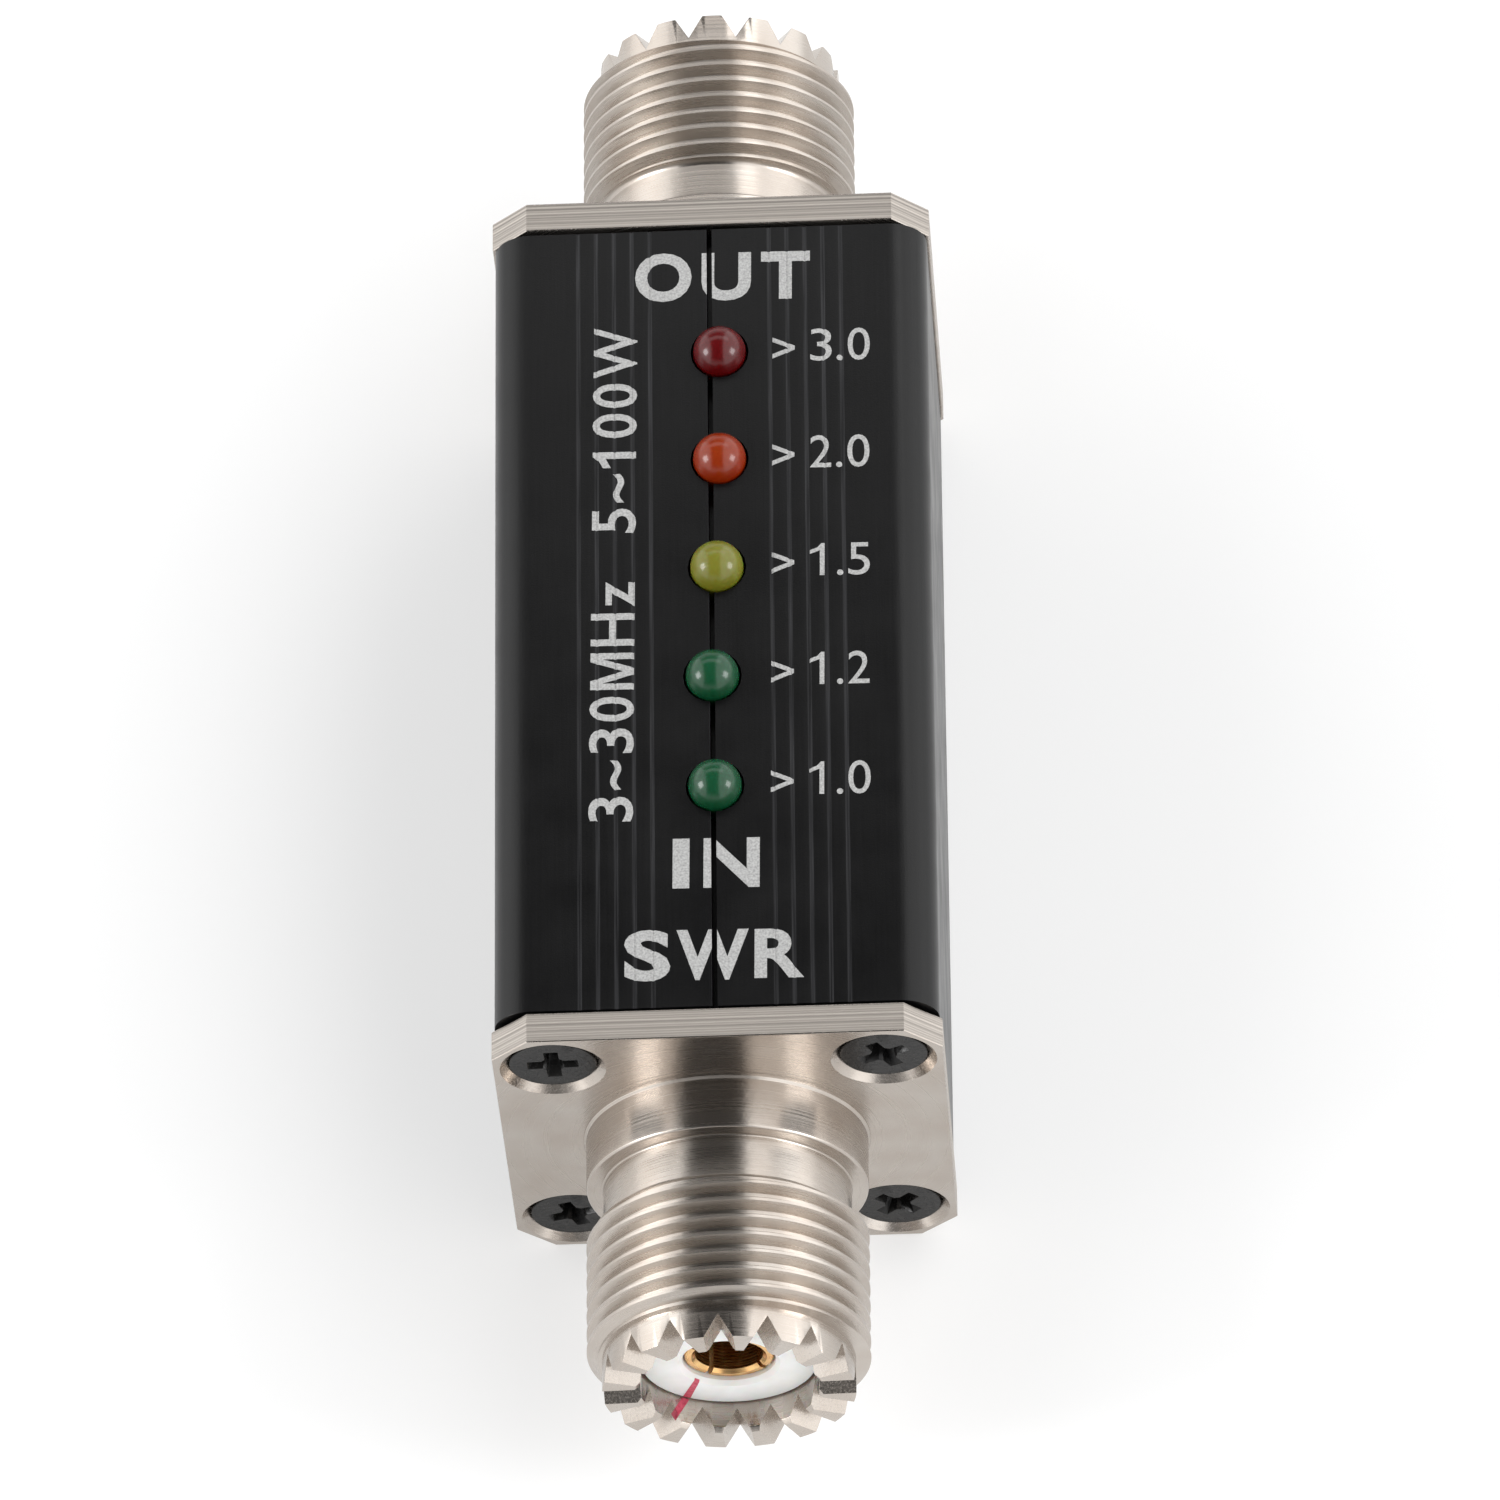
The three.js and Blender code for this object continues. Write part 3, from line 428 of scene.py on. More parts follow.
class Finish:
    """A Principled material and the nodes that feed it."""

    def __init__(self, name, colour, roughness, metallic=0.0, **more):
        self.material = bpy.data.materials.new(name)
        self.material.use_nodes = True
        self.material.diffuse_color = (*colour, 1)
        self.tree = self.material.node_tree
        self.shader = self.tree.nodes["Principled BSDF"]
        self.shader.inputs["Base Color"].default_value = (*colour, 1)
        self.shader.inputs["Roughness"].default_value = roughness
        self.shader.inputs["Metallic"].default_value = metallic
        for socket, value in more.items():
            self.shader.inputs[socket.replace("_", " ")].default_value = value
        self.place = self.node("ShaderNodeTexCoord").outputs["Object"]

    def node(self, kind, **values):
        made = self.tree.nodes.new(kind)
        for key, value in values.items():
            if key in made.inputs:
                made.inputs[key].default_value = value
            else:
                setattr(made, key, value)
        return made

    def link(self, source, target):
        self.tree.links.new(source, target)

    def stretched(self, scale):
        """The place, scaled by a vector, so that a pattern runs along one way."""
        mapping = self.node("ShaderNodeMapping", vector_type="POINT", Scale=scale)
        self.link(self.place, mapping.inputs["Vector"])
        return mapping.outputs["Vector"]

    def round_axis(self):
        """A place that is the same all the way round the line's axis: (radius, y, 0)."""
        centred = self.node("ShaderNodeVectorMath", operation="SUBTRACT")
        centred.inputs[1].default_value = (0, 0, AXIS_HEIGHT)
        self.link(self.place, centred.inputs[0])
        flat = self.node("ShaderNodeVectorMath", operation="MULTIPLY")
        flat.inputs[1].default_value = (1, 0, 1)
        self.link(centred.outputs[0], flat.inputs[0])
        length = self.node("ShaderNodeVectorMath", operation="LENGTH")
        self.link(flat.outputs[0], length.inputs[0])
        parts = self.node("ShaderNodeSeparateXYZ")
        self.link(self.place, parts.inputs[0])
        joined = self.node("ShaderNodeCombineXYZ")
        self.link(length.outputs["Value"], joined.inputs["X"])
        self.link(parts.outputs["Y"], joined.inputs["Y"])
        return joined.outputs[0]

    def noise(self, size, detail=2.0, source=None):
        """Noise whose blots are about `size` across."""
        made = self.node("ShaderNodeTexNoise", Scale=1 / size, Detail=detail)
        self.link(source or self.place, made.inputs["Vector"])
        return made.outputs["Fac"]

    def spread(self, source, low, high, start=0.3, stop=0.7):
        """Takes a value that runs from start to stop, and runs it from low to high."""
        made = self.node("ShaderNodeMapRange", **{
            "From Min": start, "From Max": stop, "To Min": low, "To Max": high})
        self.link(source, made.inputs["Value"])
        return made.outputs["Result"]

    def two_tone(self, source, first, second):
        """Colour that runs from one tone to another as the value runs from 0.3 to 0.7."""
        made = self.node("ShaderNodeMix", data_type="RGBA")
        made.inputs["A"].default_value = (*first, 1)
        made.inputs["B"].default_value = (*second, 1)
        self.link(self.spread(source, 0, 1), made.inputs["Factor"])
        self.link(made.outputs["Result"], self.shader.inputs["Base Color"])

    def roughen(self, source, low, high):
        self.link(self.spread(source, low, high), self.shader.inputs["Roughness"])

    def relief(self, source, depth):
        """Bumps of the given depth, on top of any relief that is there already."""
        made = self.node("ShaderNodeBump", Strength=1.0, Distance=depth)
        self.link(source, made.inputs["Height"])
        before = self.shader.inputs["Normal"].links
        if before:
            self.link(before[0].from_socket, made.inputs["Normal"])
        self.link(made.outputs["Normal"], self.shader.inputs["Normal"])

    def lathe_grain(self, amount):
        """Reflections drawn out across marks that run round the line's axis."""
        tangent = self.node("ShaderNodeTangent", direction_type="RADIAL", axis="Y")
        self.link(tangent.outputs["Tangent"], self.shader.inputs["Tangent"])
        self.shader.inputs["Anisotropic"].default_value = amount
        self.shader.inputs["Anisotropic Rotation"].default_value = 0.25


NICKEL = (0.50, 0.46, 0.42)
NICKEL_DULL = (0.45, 0.40, 0.355)


def turned_nickel(name, shine, dull):
    """Nickel over turned brass: fine rings round the axis, slightly uneven shine."""
    finish = Finish(name, NICKEL, shine, metallic=1.0)
    rings = finish.noise(0.12 * MM, 3, finish.round_axis())
    finish.lathe_grain(0.75)
    finish.roughen(rings, shine, dull)
    finish.two_tone(finish.noise(3.0 * MM), NICKEL, NICKEL_DULL)
    finish.relief(rings, 0.004 * MM)
    finish.relief(finish.noise(0.6 * MM), 0.008 * MM)
    return finish.material


def milled_nickel():
    """The flange's cut edges: saw lines that run along each edge."""
    finish = Finish("milled_nickel", NICKEL, 0.5, metallic=0.45)
    ridges = finish.noise(0.13 * MM, 0, finish.stretched((0.0005, 1, 0.0005)))
    scuffs = finish.noise(0.1 * MM, 2, finish.stretched((0.1, 1, 0.1)))
    finish.roughen(scuffs, 0.45, 0.6)
    finish.two_tone(ridges, (0.22, 0.20, 0.18), (0.45, 0.41, 0.37))
    finish.relief(ridges, 0.06 * MM)
    return finish.material


def black_anodise(name, dark, light):
    """Satin black anodising on an extrusion: fine tooth and faint draw lines along Y."""
    finish = Finish(name, dark, 0.34, Specular_IOR_Level=0.26)
    lines = finish.noise(0.12 * MM, 2, finish.stretched((1, 0.02, 1)))
    finish.roughen(finish.noise(4.0 * MM, 3), 0.28, 0.38)
    finish.two_tone(lines, dark, light)
    finish.relief(finish.noise(0.09 * MM), 0.006 * MM)
    finish.relief(lines, 0.003 * MM)
    return finish.material


def pale_print():
    """Laser-marked legend: pale grey, matt, slightly broken up."""
    finish = Finish("pale_print", (0.55, 0.55, 0.54), 0.7)
    speckle = finish.noise(0.12 * MM)
    finish.two_tone(speckle, (0.26, 0.26, 0.257), (0.44, 0.44, 0.435))
    finish.relief(speckle, 0.004 * MM)
    return finish.material


def white_ptfe():
    """Turned plastic, a little milky, with faint rings."""
    finish = Finish("white_ptfe", (0.86, 0.86, 0.85), 0.42, Subsurface_Weight=0.25,
                    Subsurface_Scale=0.6 * MM)
    finish.two_tone(finish.noise(1.5 * MM), (0.88, 0.88, 0.87), (0.80, 0.80, 0.78))
    finish.relief(finish.noise(0.15 * MM, 2, finish.round_axis()), 0.006 * MM)
    return finish.material


def gold_plate():
    """Thin gold over turned brass, browner in patches."""
    finish = Finish("gold_plate", (0.78, 0.50, 0.20), 0.25, metallic=1.0)
    rings = finish.noise(0.1 * MM, 2, finish.round_axis())
    finish.roughen(rings, 0.18, 0.36)
    finish.two_tone(finish.noise(0.7 * MM), (0.80, 0.53, 0.24), (0.60, 0.33, 0.13))
    finish.relief(rings, 0.003 * MM)
    return finish.material


def black_screw():
    """Oiled black steel, finely pitted."""
    finish = Finish("black_screw", (0.01, 0.01, 0.01), 0.2, IOR=1.3)
    pits = finish.noise(0.25 * MM, 3)
    finish.roughen(pits, 0.12, 0.32)
    finish.two_tone(finish.noise(0.8 * MM), (0.005, 0.005, 0.005), (0.012, 0.0115, 0.011))
    finish.relief(pits, 0.015 * MM)
    return finish.material


def pen_ink():
    """Felt pen on metal and plastic, streaky."""
    finish = Finish("red_pen_ink", (0.5, 0.02, 0.06), 0.5)
    finish.two_tone(finish.noise(0.25 * MM, 3), (0.42, 0.015, 0.05), (0.62, 0.10, 0.16))
    return finish.material


# each tint: its deep tone, and a lighter tone painted towards the dome's top as a sheen
LENS_TINTS = {
    "green": ((0.004, 0.050, 0.018), (0.006, 0.060, 0.024)),
    "yellow": ((0.135, 0.135, 0.010), (0.16, 0.16, 0.02)),
    "orange": ((0.19, 0.014, 0.001), (0.22, 0.024, 0.003)),
    "red": ((0.070, 0.001, 0.0015), (0.085, 0.002, 0.003)),
}


def lamp_lens(tint):
    """Tinted epoxy, clear gloss over a milky body, with a painted sheen that lightens the tint towards
    the dome's top.
    """
    deep, sheen_tone = LENS_TINTS[tint]
    finish = Finish(f"{tint}_lens", deep, 0.25, Specular_IOR_Level=0.2, Subsurface_Weight=0.3,
                    Subsurface_Scale=0.6 * MM, Coat_Weight=0.42, Coat_Roughness=0.14)
    height = finish.node("ShaderNodeSeparateXYZ")
    finish.link(finish.place, height.inputs[0])
    # painted sheen: the tint runs lighter with height over the dome
    rise = finish.spread(height.outputs["Z"], 0.3, 0.7, HOUSING_TOP, HOUSING_TOP + LAMP_RADIUS)
    finish.two_tone(rise, deep, sheen_tone)
    finish.relief(finish.noise(1.2 * MM, 1), 0.01 * MM)
    return finish.material


def plain_part(name, colour, roughness, metallic):
    """The small parts on the board: their own colour, a little uneven, with a fine grain."""
    finish = Finish(name, colour, roughness, metallic)
    finish.two_tone(finish.noise(1.2 * MM, 3), colour, tuple(part * 0.75 for part in colour))
    finish.relief(finish.noise(0.3 * MM), 0.008 * MM)
    return finish.material


# ---------------------------------------------------------------- housing


def housing_half(side):
    """One extruded half: a copy of its CAD solid with its flat faces merged."""
    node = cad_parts[f"{side}_half_shell"]
    shell = duplicate(node, f"{side}_housing_half")
    edit(shell)
    bpy.ops.mesh.remove_doubles(threshold=MERGE)
    bpy.ops.mesh.dissolve_limited(angle_limit=math.radians(1))
    leave()
    return shell


def plain_letter(letter, boldness):
    """A letter drawn from its listed outline, in a unit box."""
    drawing = "slim 1" if letter == "1" and not boldness else letter
    piece = drawn_line("letter", [Vector((x, y, 0)) for x, y in PLAIN_OUTLINES[drawing]])
    bpy.ops.mesh.edge_face_add()
    leave()
    return piece


def glyph(letter, boldness):
    """One flat letter as a mesh, at the font's own size or in a unit box."""
    if letter in PLAIN_OUTLINES:
        return plain_letter(letter, boldness)
    bpy.ops.object.select_all(action="DESELECT")
    bpy.ops.object.text_add()
    piece = bpy.context.object
    piece.data.body = letter
    piece.data.offset = min(boldness, R_BOLDNESS) if letter == "R" else boldness
    piece.data.resolution_u = LETTER_STEPS
    bpy.ops.object.convert(target="MESH")
    return piece


def box_of(piece):
    """A flat letter's left, right, bottom and top."""
    xs, ys = zip(*[(v.co.x, v.co.y) for v in piece.data.vertices])
    return min(xs), max(xs), min(ys), max(ys)


def cap_height(boldness):
    """Where the font's capitals start and how high they are."""
    trial = glyph("H", boldness)
    low, high = box_of(trial)[2:]
    bpy.data.objects.remove(trial)
    return low, high - low


def bar_of(piece, low_corner, scale, turn):
    """Scales a flat letter, turns it, sets it on the top face and pulls it into a bar."""
    base = Matrix.Translation((0, 0, HOUSING_TOP - PRINT_REACH))
    askew = Matrix.Rotation(PRINT_TURN, 4, "Z")
    piece.matrix_world = base @ askew @ turn @ Matrix.Translation(low_corner) @ scale
    settle(piece)
    edit(piece)
    bpy.ops.mesh.remove_doubles(threshold=MERGE)
    bpy.ops.mesh.dissolve_limited(angle_limit=math.radians(1))
    bpy.ops.mesh.select_all(action="SELECT")
    bpy.ops.mesh.extrude_region_move(TRANSFORM_OT_translate={"value": (0, 0, PRINT_REACH * 2)})
    close_up()
    return piece


def word(text, left, bottom, caps, cells, gap, boldness, reading_up=False):
    """Letters fitted one by one to their cells, as bars that stand through the top face."""
    turn = Matrix.Identity(4)
    if reading_up:
        turn = Matrix.Rotation(math.radians(90), 4, "Z")
        left, bottom = bottom, -left
    ground, high = cap_height(boldness)
    bars = []
    for letter in text:
        piece = glyph(letter, boldness)
        x0, x1 = box_of(piece)[:2]
        base, tall = (0, 1) if letter in PLAIN_OUTLINES else (ground, high)
        width = cells[letter] * caps * (ONE_SHARE if letter == "1" else 1)
        scale = (Matrix.Diagonal((width / (x1 - x0), caps / tall, 1, 1))
                 @ Matrix.Translation((-x0, -base, 0)))
        bars.append(bar_of(piece, (left, bottom, 0), scale, turn))
        left += cells[letter] * caps + gap
    return bars


def scale_mark(middle):
    """The sign in front of a scale figure."""
    piece = glyph(">", SCALE_MARK_BOLDNESS)
    x0, x1, y0, y1 = box_of(piece)
    width, height = SCALE_MARK_SIZE
    scale = (Matrix.Diagonal((width / (x1 - x0), height / (y1 - y0), 1, 1))
             @ Matrix.Translation((-x0, -y0, 0)))
    return bar_of(piece, (SCALE_MARK_LEFT, middle - height / 2, 0), scale, Matrix.Identity(4))


def joined(pieces, name):
    """Makes one object of several, in the first one's place."""
    bpy.ops.object.select_all(action="DESELECT")
    for piece in pieces:
        piece.select_set(True)
    bpy.context.view_layer.objects.active = pieces[0]
    bpy.ops.object.join()
    pieces[0].name = pieces[0].data.name = name
    return pieces[0]


def printed(name, bars, shells):
    """A thin film of print where the bars pass the shells' top faces."""
    film = joined(bars, name)
    raised = joined([duplicate(shell, "raised") for shell in shells], "raised")
    raised.data.transform(Matrix.Translation((0, 0, PRINT_THICKNESS)))
    combine(film, raised, "INTERSECT")
    for shell in shells:
        combine(film, shell, keep=True)
    return film


def legend_bars():
    """Every legend: (name, [bars]) pairs."""
    for name, text, left, bottom, gap in TITLES:
        yield name, word(text, left, bottom, TITLE_CAPS, TITLE_CELLS, gap, TITLE_BOLDNESS)
    for name, text, start, gap in RATINGS:
        yield name, word(text, RATING_BASELINE, start, RATING_CAPS, RATING_CELLS, gap,
                         RATING_BOLDNESS, reading_up=True)
    for number, limit in enumerate(LAMP_LIMITS, start=1):
        low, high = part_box(f"lamp_{number}")
        middle = (low.y + high.y) / 2
        digits = word(limit, SCALE_DIGITS_LEFT, middle + DIGITS_RISE - SCALE_CAPS / 2, SCALE_CAPS,
                      SCALE_CELLS, SCALE_GAP, SCALE_BOLDNESS)
        yield f"legend_scale_{number}", [scale_mark(middle + SCALE_RISE), *digits]


def make_housing():
    """The two halves, and the print that lies over both."""
    anodise = black_anodise("black_anodise", (0.0020, 0.0020, 0.0022), (0.0034, 0.0034, 0.0037))
    # painted highlight: a lighter anodise for the groove walls, standing in for their lit edges
    groove_highlight = black_anodise("groove_highlight_anodise", (0.005, 0.005, 0.0055), (0.030, 0.030, 0.032))
    print_ink = pale_print()
    shells = [housing_half(side) for side in ("left", "right")]
    for name, bars in legend_bars():
        film = printed(name, bars, shells)
        hand_in(film, print_ink, "legend_print")
    for side, shell in zip(("left", "right"), shells):
        soften(shell, EDGE_BREAK, limit=70)
        smooth(shell, limit=25)
        give_materials(shell, anodise, groove_highlight)
        # the groove walls near the top face take the lighter anodise as a painted highlight
        for face in shell.data.polygons:
            wall = GROOVE_SLOPE[0] < abs(face.normal.x) < GROOVE_SLOPE[1]
            grooved = wall and abs(face.center.x) < GROOVE_ZONE
            outer = abs(face.center.z - AXIS_HEIGHT) > HOUSING_TOP - AXIS_HEIGHT - GROOVE_REACH
            face.material_index = int(grooved and outer)
        hand_in(shell, anodise, "anodised_housing", f"{side}_half_shell")


# ---------------------------------------------------------------- sockets


def flange_plate():
    """A square plate with its four corners cut off and every edge broken."""
    plate = block("flange", (-FLANGE_HALF, -FLANGE_THICKNESS, -FLANGE_HALF),
                  (FLANGE_HALF, 0, FLANGE_HALF))
    edit(plate, "EDGE")
    bpy.ops.mesh.select_all(action="DESELECT")
    leave()
    for edge in plate.data.edges:
        start, end = (plate.data.vertices[v].co for v in edge.vertices)
        edge.select = abs(start.y - end.y) > MERGE
    bpy.ops.object.mode_set(mode="EDIT")
    bpy.ops.mesh.bevel(offset=FLANGE_CHAMFER, segments=1)
    leave()
    soften(plate, FLANGE_EDGE_BREAK, limit=60)
    return plate


def barrel_blank():
    """Collar, neck and the cylinder that the thread is cut in."""
    return turned("barrel", [
        (0, -FLANGE_THICKNESS / 2),
        (COLLAR_RADIUS + COLLAR_FOOT, -FLANGE_THICKNESS / 2),
        (COLLAR_RADIUS + COLLAR_FOOT, COLLAR_FOOT / 2),
        (COLLAR_RADIUS, COLLAR_FOOT * 1.5),
        (COLLAR_RADIUS, COLLAR_LENGTH),
        (NECK_RADIUS, COLLAR_LENGTH),
        (NECK_RADIUS, NECK_END),
        (THREAD_RADIUS, THREAD_START),
        (THREAD_RADIUS, THREAD_END),
        (RING_RADIUS, THREAD_END + THREAD_STEP),
        (0, THREAD_END + THREAD_STEP),
    ], FINE_STEPS, rounding=((4, COLLAR_ROUND), (5, NECK_ROUND[0]), (6, NECK_ROUND[1])))


def thread_cutter():
    """A V groove wound round the barrel as one long solid."""
    root = THREAD_RADIUS - THREAD_DEPTH
    top = THREAD_RADIUS + THREAD_CUT_OVER
    low = THREAD_ROOT_FLAT / 2
    wide = low + (top - root) * math.tan(THREAD_HALF_ANGLE)
    start = NECK_END - THREAD_PITCH / 2
    section = [
        Vector((root, start - low, 0)), Vector((root, start + low, 0)),
        Vector((top, start + wide, 0)), Vector((top, start - wide, 0)),
        Vector((root, start - low, 0)),
    ]
    cutter = drawn_line("thread_cutter", section)
    bpy.ops.mesh.remove_doubles(threshold=MERGE)
    leave()
    winding = cutter.modifiers.new("winding", "SCREW")
    winding.axis = "Y"
    winding.steps = winding.render_steps = MEDIUM_STEPS
    winding.screw_offset = THREAD_PITCH
    winding.iterations = THREAD_TURNS + 2
    winding.use_merge_vertices = False
    pick(cutter)
    bpy.ops.object.modifier_apply(modifier=winding.name)
    edit(cutter, "EDGE")
    bpy.ops.mesh.select_all(action="DESELECT")
    bpy.ops.mesh.select_non_manifold()
    bpy.ops.mesh.fill_holes(sides=0)
    bpy.ops.mesh.select_mode(type="VERT")
    close_up()
    return cutter


def notch_cutter():
    """A V bar that cuts the notch at the top of the ring."""
    top = BARREL_LENGTH + NOTCH_CUT_OVER
    wide = TOOTH_GAP / 2 * (TOOTH_DEPTH + NOTCH_CUT_OVER) / TOOTH_DEPTH
    inner = MOUTH_RADIUS - NOTCH_CUT_UNDER
    outline = [
        Vector((0, BARREL_LENGTH - TOOTH_DEPTH, inner)),
        Vector((wide, top, inner)),
        Vector((-wide, top, inner)),
    ]
    return drawn_bar("notch_cutter", outline, (0, 0, RING_RADIUS + NOTCH_CUT_OVER - inner))


def serrated_ring(turn):
    """The plain ring in front of the thread, with teeth all round its end."""
    sunk = THREAD_END - RING_SUNK
    ring = turned("ring", [
        (MOUTH_RADIUS, sunk),
        (RING_RADIUS, sunk),
        (RING_RADIUS, BARREL_LENGTH),
        (MOUTH_RADIUS + MOUTH_BEVEL, BARREL_LENGTH),
        (MOUTH_RADIUS, BARREL_LENGTH - MOUTH_BEVEL),
        (MOUTH_RADIUS, sunk),
    ], FINE_STEPS)
    tool = notch_cutter()
    for number in range(TOOTH_COUNT):
        tool.rotation_euler = (0, turn + number * math.tau / TOOTH_COUNT, 0)
        combine(ring, tool, keep=True)
    bpy.data.objects.remove(tool)
    merge_flat(ring, limit=0.5)
    soften(ring, TOOTH_EDGE_BREAK, limit=35)
    return ring


def countersink_cutter():
    """A screw's clearance hole and the cone its head sits in."""
    seat = SCREW_HEAD_RADIUS + SCREW_SUNK + SCREW_CLEARANCE
    hole = SCREW_RADIUS + SCREW_CLEARANCE
    lip = COUNTERSINK_LIP
    return turned("countersink", [
        (0, -FLANGE_THICKNESS * 2), (hole, -FLANGE_THICKNESS * 2), (hole, hole - seat),
        (seat, 0), (seat + lip * 2, lip), (0, lip),
    ], SMALL_STEPS)


def screw_corners():
    """The four screws' places on the flange, as (x, z)."""
    return [(x * SCREW_OFFSET, z * SCREW_OFFSET) for x, z in ((-1, 1), (1, 1), (1, -1), (-1, -1))]


def socket_body(end, bright, threaded, milled):
    """Flange, collar, neck, thread and ring in one piece, in three finishes."""
    body = flange_plate()
    barrel = barrel_blank()
    combine(barrel, thread_cutter())
    combine(body, barrel, "UNION")
    bore = turned("bore", [
        (0, -FLANGE_THICKNESS * 2), (MOUTH_RADIUS, -FLANGE_THICKNESS * 2),
        (MOUTH_RADIUS, BARREL_LENGTH), (0, BARREL_LENGTH),
    ], FINE_STEPS)
    combine(body, bore)
    combine(body, serrated_ring(turn_before_facing(NOTCH_TURN, end)), "UNION")
    for x, z in screw_corners():
        tool = countersink_cutter()
        tool.location = (x, 0, z)
        combine(body, tool)
    body.name = body.data.name = f"{end}_socket_body"
    merge_flat(body, limit=0.2)
    give_materials(body, bright, threaded, milled)
    edge_zone = FLANGE_HALF - FLANGE_CHAMFER - MILLED_REACH
    for face in body.data.polygons:
        on_flange = -FLANGE_THICKNESS < face.center.y < 0
        outside = max(abs(face.center.x), abs(face.center.z)) > edge_zone
        looks_sideways = abs(face.normal.y) < 0.1
        if on_flange and outside and looks_sideways:
            face.material_index = 2
        elif COLLAR_LENGTH < face.center.y < THREAD_END:
            face.material_index = 1
    smooth(body, limit=28)
    facing(body, end)
    hand_in(body, bright, "nickel_plate", f"{end}_socket_shell")
    return body


def insulator(end, material):
    """The plug that fills the socket, with a stepped hole for the contact."""
    hole = CONTACT_RADIUS + CONTACT_HOLE_CLEARANCE
    stem_hole = STEM_RADIUS + CONTACT_HOLE_CLEARANCE
    back = -FLANGE_THICKNESS - HUB_LENGTH
    shoulder = CONTACT_FACE - CONTACT_LENGTH - CONTACT_HOLE_CLEARANCE
    piece = turned(f"{end}_dielectric", [
        (hole, shoulder), (hole, INSULATOR_FACE - INSULATOR_LEAD),
        (hole + INSULATOR_LEAD, INSULATOR_FACE), (INSULATOR_RADIUS, INSULATOR_FACE),
        (INSULATOR_RADIUS, -FLANGE_THICKNESS), (HUB_RADIUS, -FLANGE_THICKNESS),
        (HUB_RADIUS, back), (stem_hole, back), (stem_hole, shoulder), (hole, shoulder),
    ], MEDIUM_STEPS, rounding=((3, INSULATOR_ROUND),))
    smooth(piece)
    facing(piece, end)
    hand_in(piece, material, "ptfe", f"{end}_insulator")
    return piece


def contact(end, material):
    """A slit tube that grips the plug's pin, with a half-open solder cup behind."""
    drilled = CONTACT_FACE - CONTACT_BORE_DEPTH
    shoulder = CONTACT_FACE - CONTACT_LENGTH
    cup_floor = -FLANGE_THICKNESS - HUB_LENGTH - CUP_GAP
    cup_end = cup_floor - CUP_LENGTH
    piece = turned(f"{end}_spring_contact", [
        (0, drilled - DRILL_POINT), (CONTACT_BORE, drilled),
        (CONTACT_BORE, CONTACT_FACE - CONTACT_LEAD), (CONTACT_BORE + CONTACT_LEAD, CONTACT_FACE),
        (CONTACT_RADIUS, CONTACT_FACE), (CONTACT_RADIUS, shoulder), (STEM_RADIUS, shoulder),
        (STEM_RADIUS, cup_end), (CUP_BORE, cup_end), (CUP_BORE, cup_floor), (0, cup_floor),
    ], SMALL_STEPS, rounding=((4, CONTACT_ROUND),))
    for degrees in (90, 180):
        slit = block("slit", (-CONTACT_RADIUS * 2, CONTACT_FACE - SLIT_DEPTH, -SLIT_WIDTH / 2),
                     (CONTACT_RADIUS * 2, CONTACT_FACE + SLIT_DEPTH, SLIT_WIDTH / 2))
        turn = turn_before_facing(SLIT_TURN, end) + math.radians(degrees)
        slit.rotation_euler = (0, turn, 0)
        combine(piece, slit)
    half_away = block("half_away", (-STEM_RADIUS * 2, cup_end - CUP_LENGTH, 0),
                      (STEM_RADIUS * 2, cup_floor, STEM_RADIUS * 2))
    combine(piece, half_away)
    smooth(piece)
    facing(piece, end)
    hand_in(piece, material, "gold_plate", f"{end}_centre_contact")


def flange_screw():
    """One countersunk screw on the origin, head towards +Y, with a tapered cross recess."""
    top = -SCREW_SUNK
    rim = top - SCREW_HEAD_RIM
    tip = top - SCREW_LENGTH
    cone = SCREW_HEAD_RADIUS - SCREW_HEAD_RIM
    screw = turned("screw", [
        (0, top), (SCREW_HEAD_RADIUS - SCREW_HEAD_EDGE, top), (cone, rim),
        (SCREW_RADIUS, rim - (cone - SCREW_RADIUS)), (SCREW_RADIUS, tip + SCREW_RADIUS / 2),
        (SCREW_RADIUS / 2, tip), (0, tip),
    ], SMALL_STEPS, rounding=((1, SCREW_HEAD_ROUND),))
    half = RECESS_WIDTH / 2
    for turn in (0, 90):
        arm = block("arm", (-RECESS_SPAN / 2, top - RECESS_DEPTH, -half),
                    (RECESS_SPAN / 2, top + RECESS_CUT_OVER, half))
        select_vertices(arm, lambda spot: spot.y < top)
        bpy.ops.transform.resize(value=RECESS_TAPER, center_override=(0, 0, 0))
        leave()
        arm.rotation_euler = (0, math.radians(turn), 0)
        combine(screw, arm)
    wide, narrow = FUNNEL_RADII
    funnel = turned("funnel", [
        (0, top + FUNNEL_CUT_OVER), (wide, top + FUNNEL_CUT_OVER),
        (narrow, top - RECESS_DEPTH), (0, top - FUNNEL_DEPTH),
    ], FUNNEL_STEPS)
    combine(screw, funnel)
    merge_flat(screw, limit=0.5)
    soften(screw, SCREW_EDGE_BREAK, limit=40)
    smooth(screw)
    return screw


def make_sockets():
    """Both sockets with what they hold, and the screws through their flanges."""
    nickels = (
        turned_nickel("turned_nickel", 0.19, 0.30),
        turned_nickel("threaded_nickel", 0.22, 0.36),
        milled_nickel(),
    )
    ptfe, gold, black = white_ptfe(), gold_plate(), black_screw()
    pattern = flange_screw()
    for end in ("in", "out"):
        body = socket_body(end, *nickels)
        plug = insulator(end, ptfe)
        if end == "in":
            inspection_mark(body, plug)
        contact(end, gold)
        for number, (x, z) in enumerate(screw_corners(), start=1):
            screw = duplicate(pattern, f"{end}_screw_{number}")
            move(screw, (x, 0, z), math.radians(SCREW_TURNS[end][number - 1]))
            facing(screw, end)
            hand_in(screw, black, "black_screw", f"{end}_flange_screw_{number}")
    bpy.data.objects.remove(pattern)


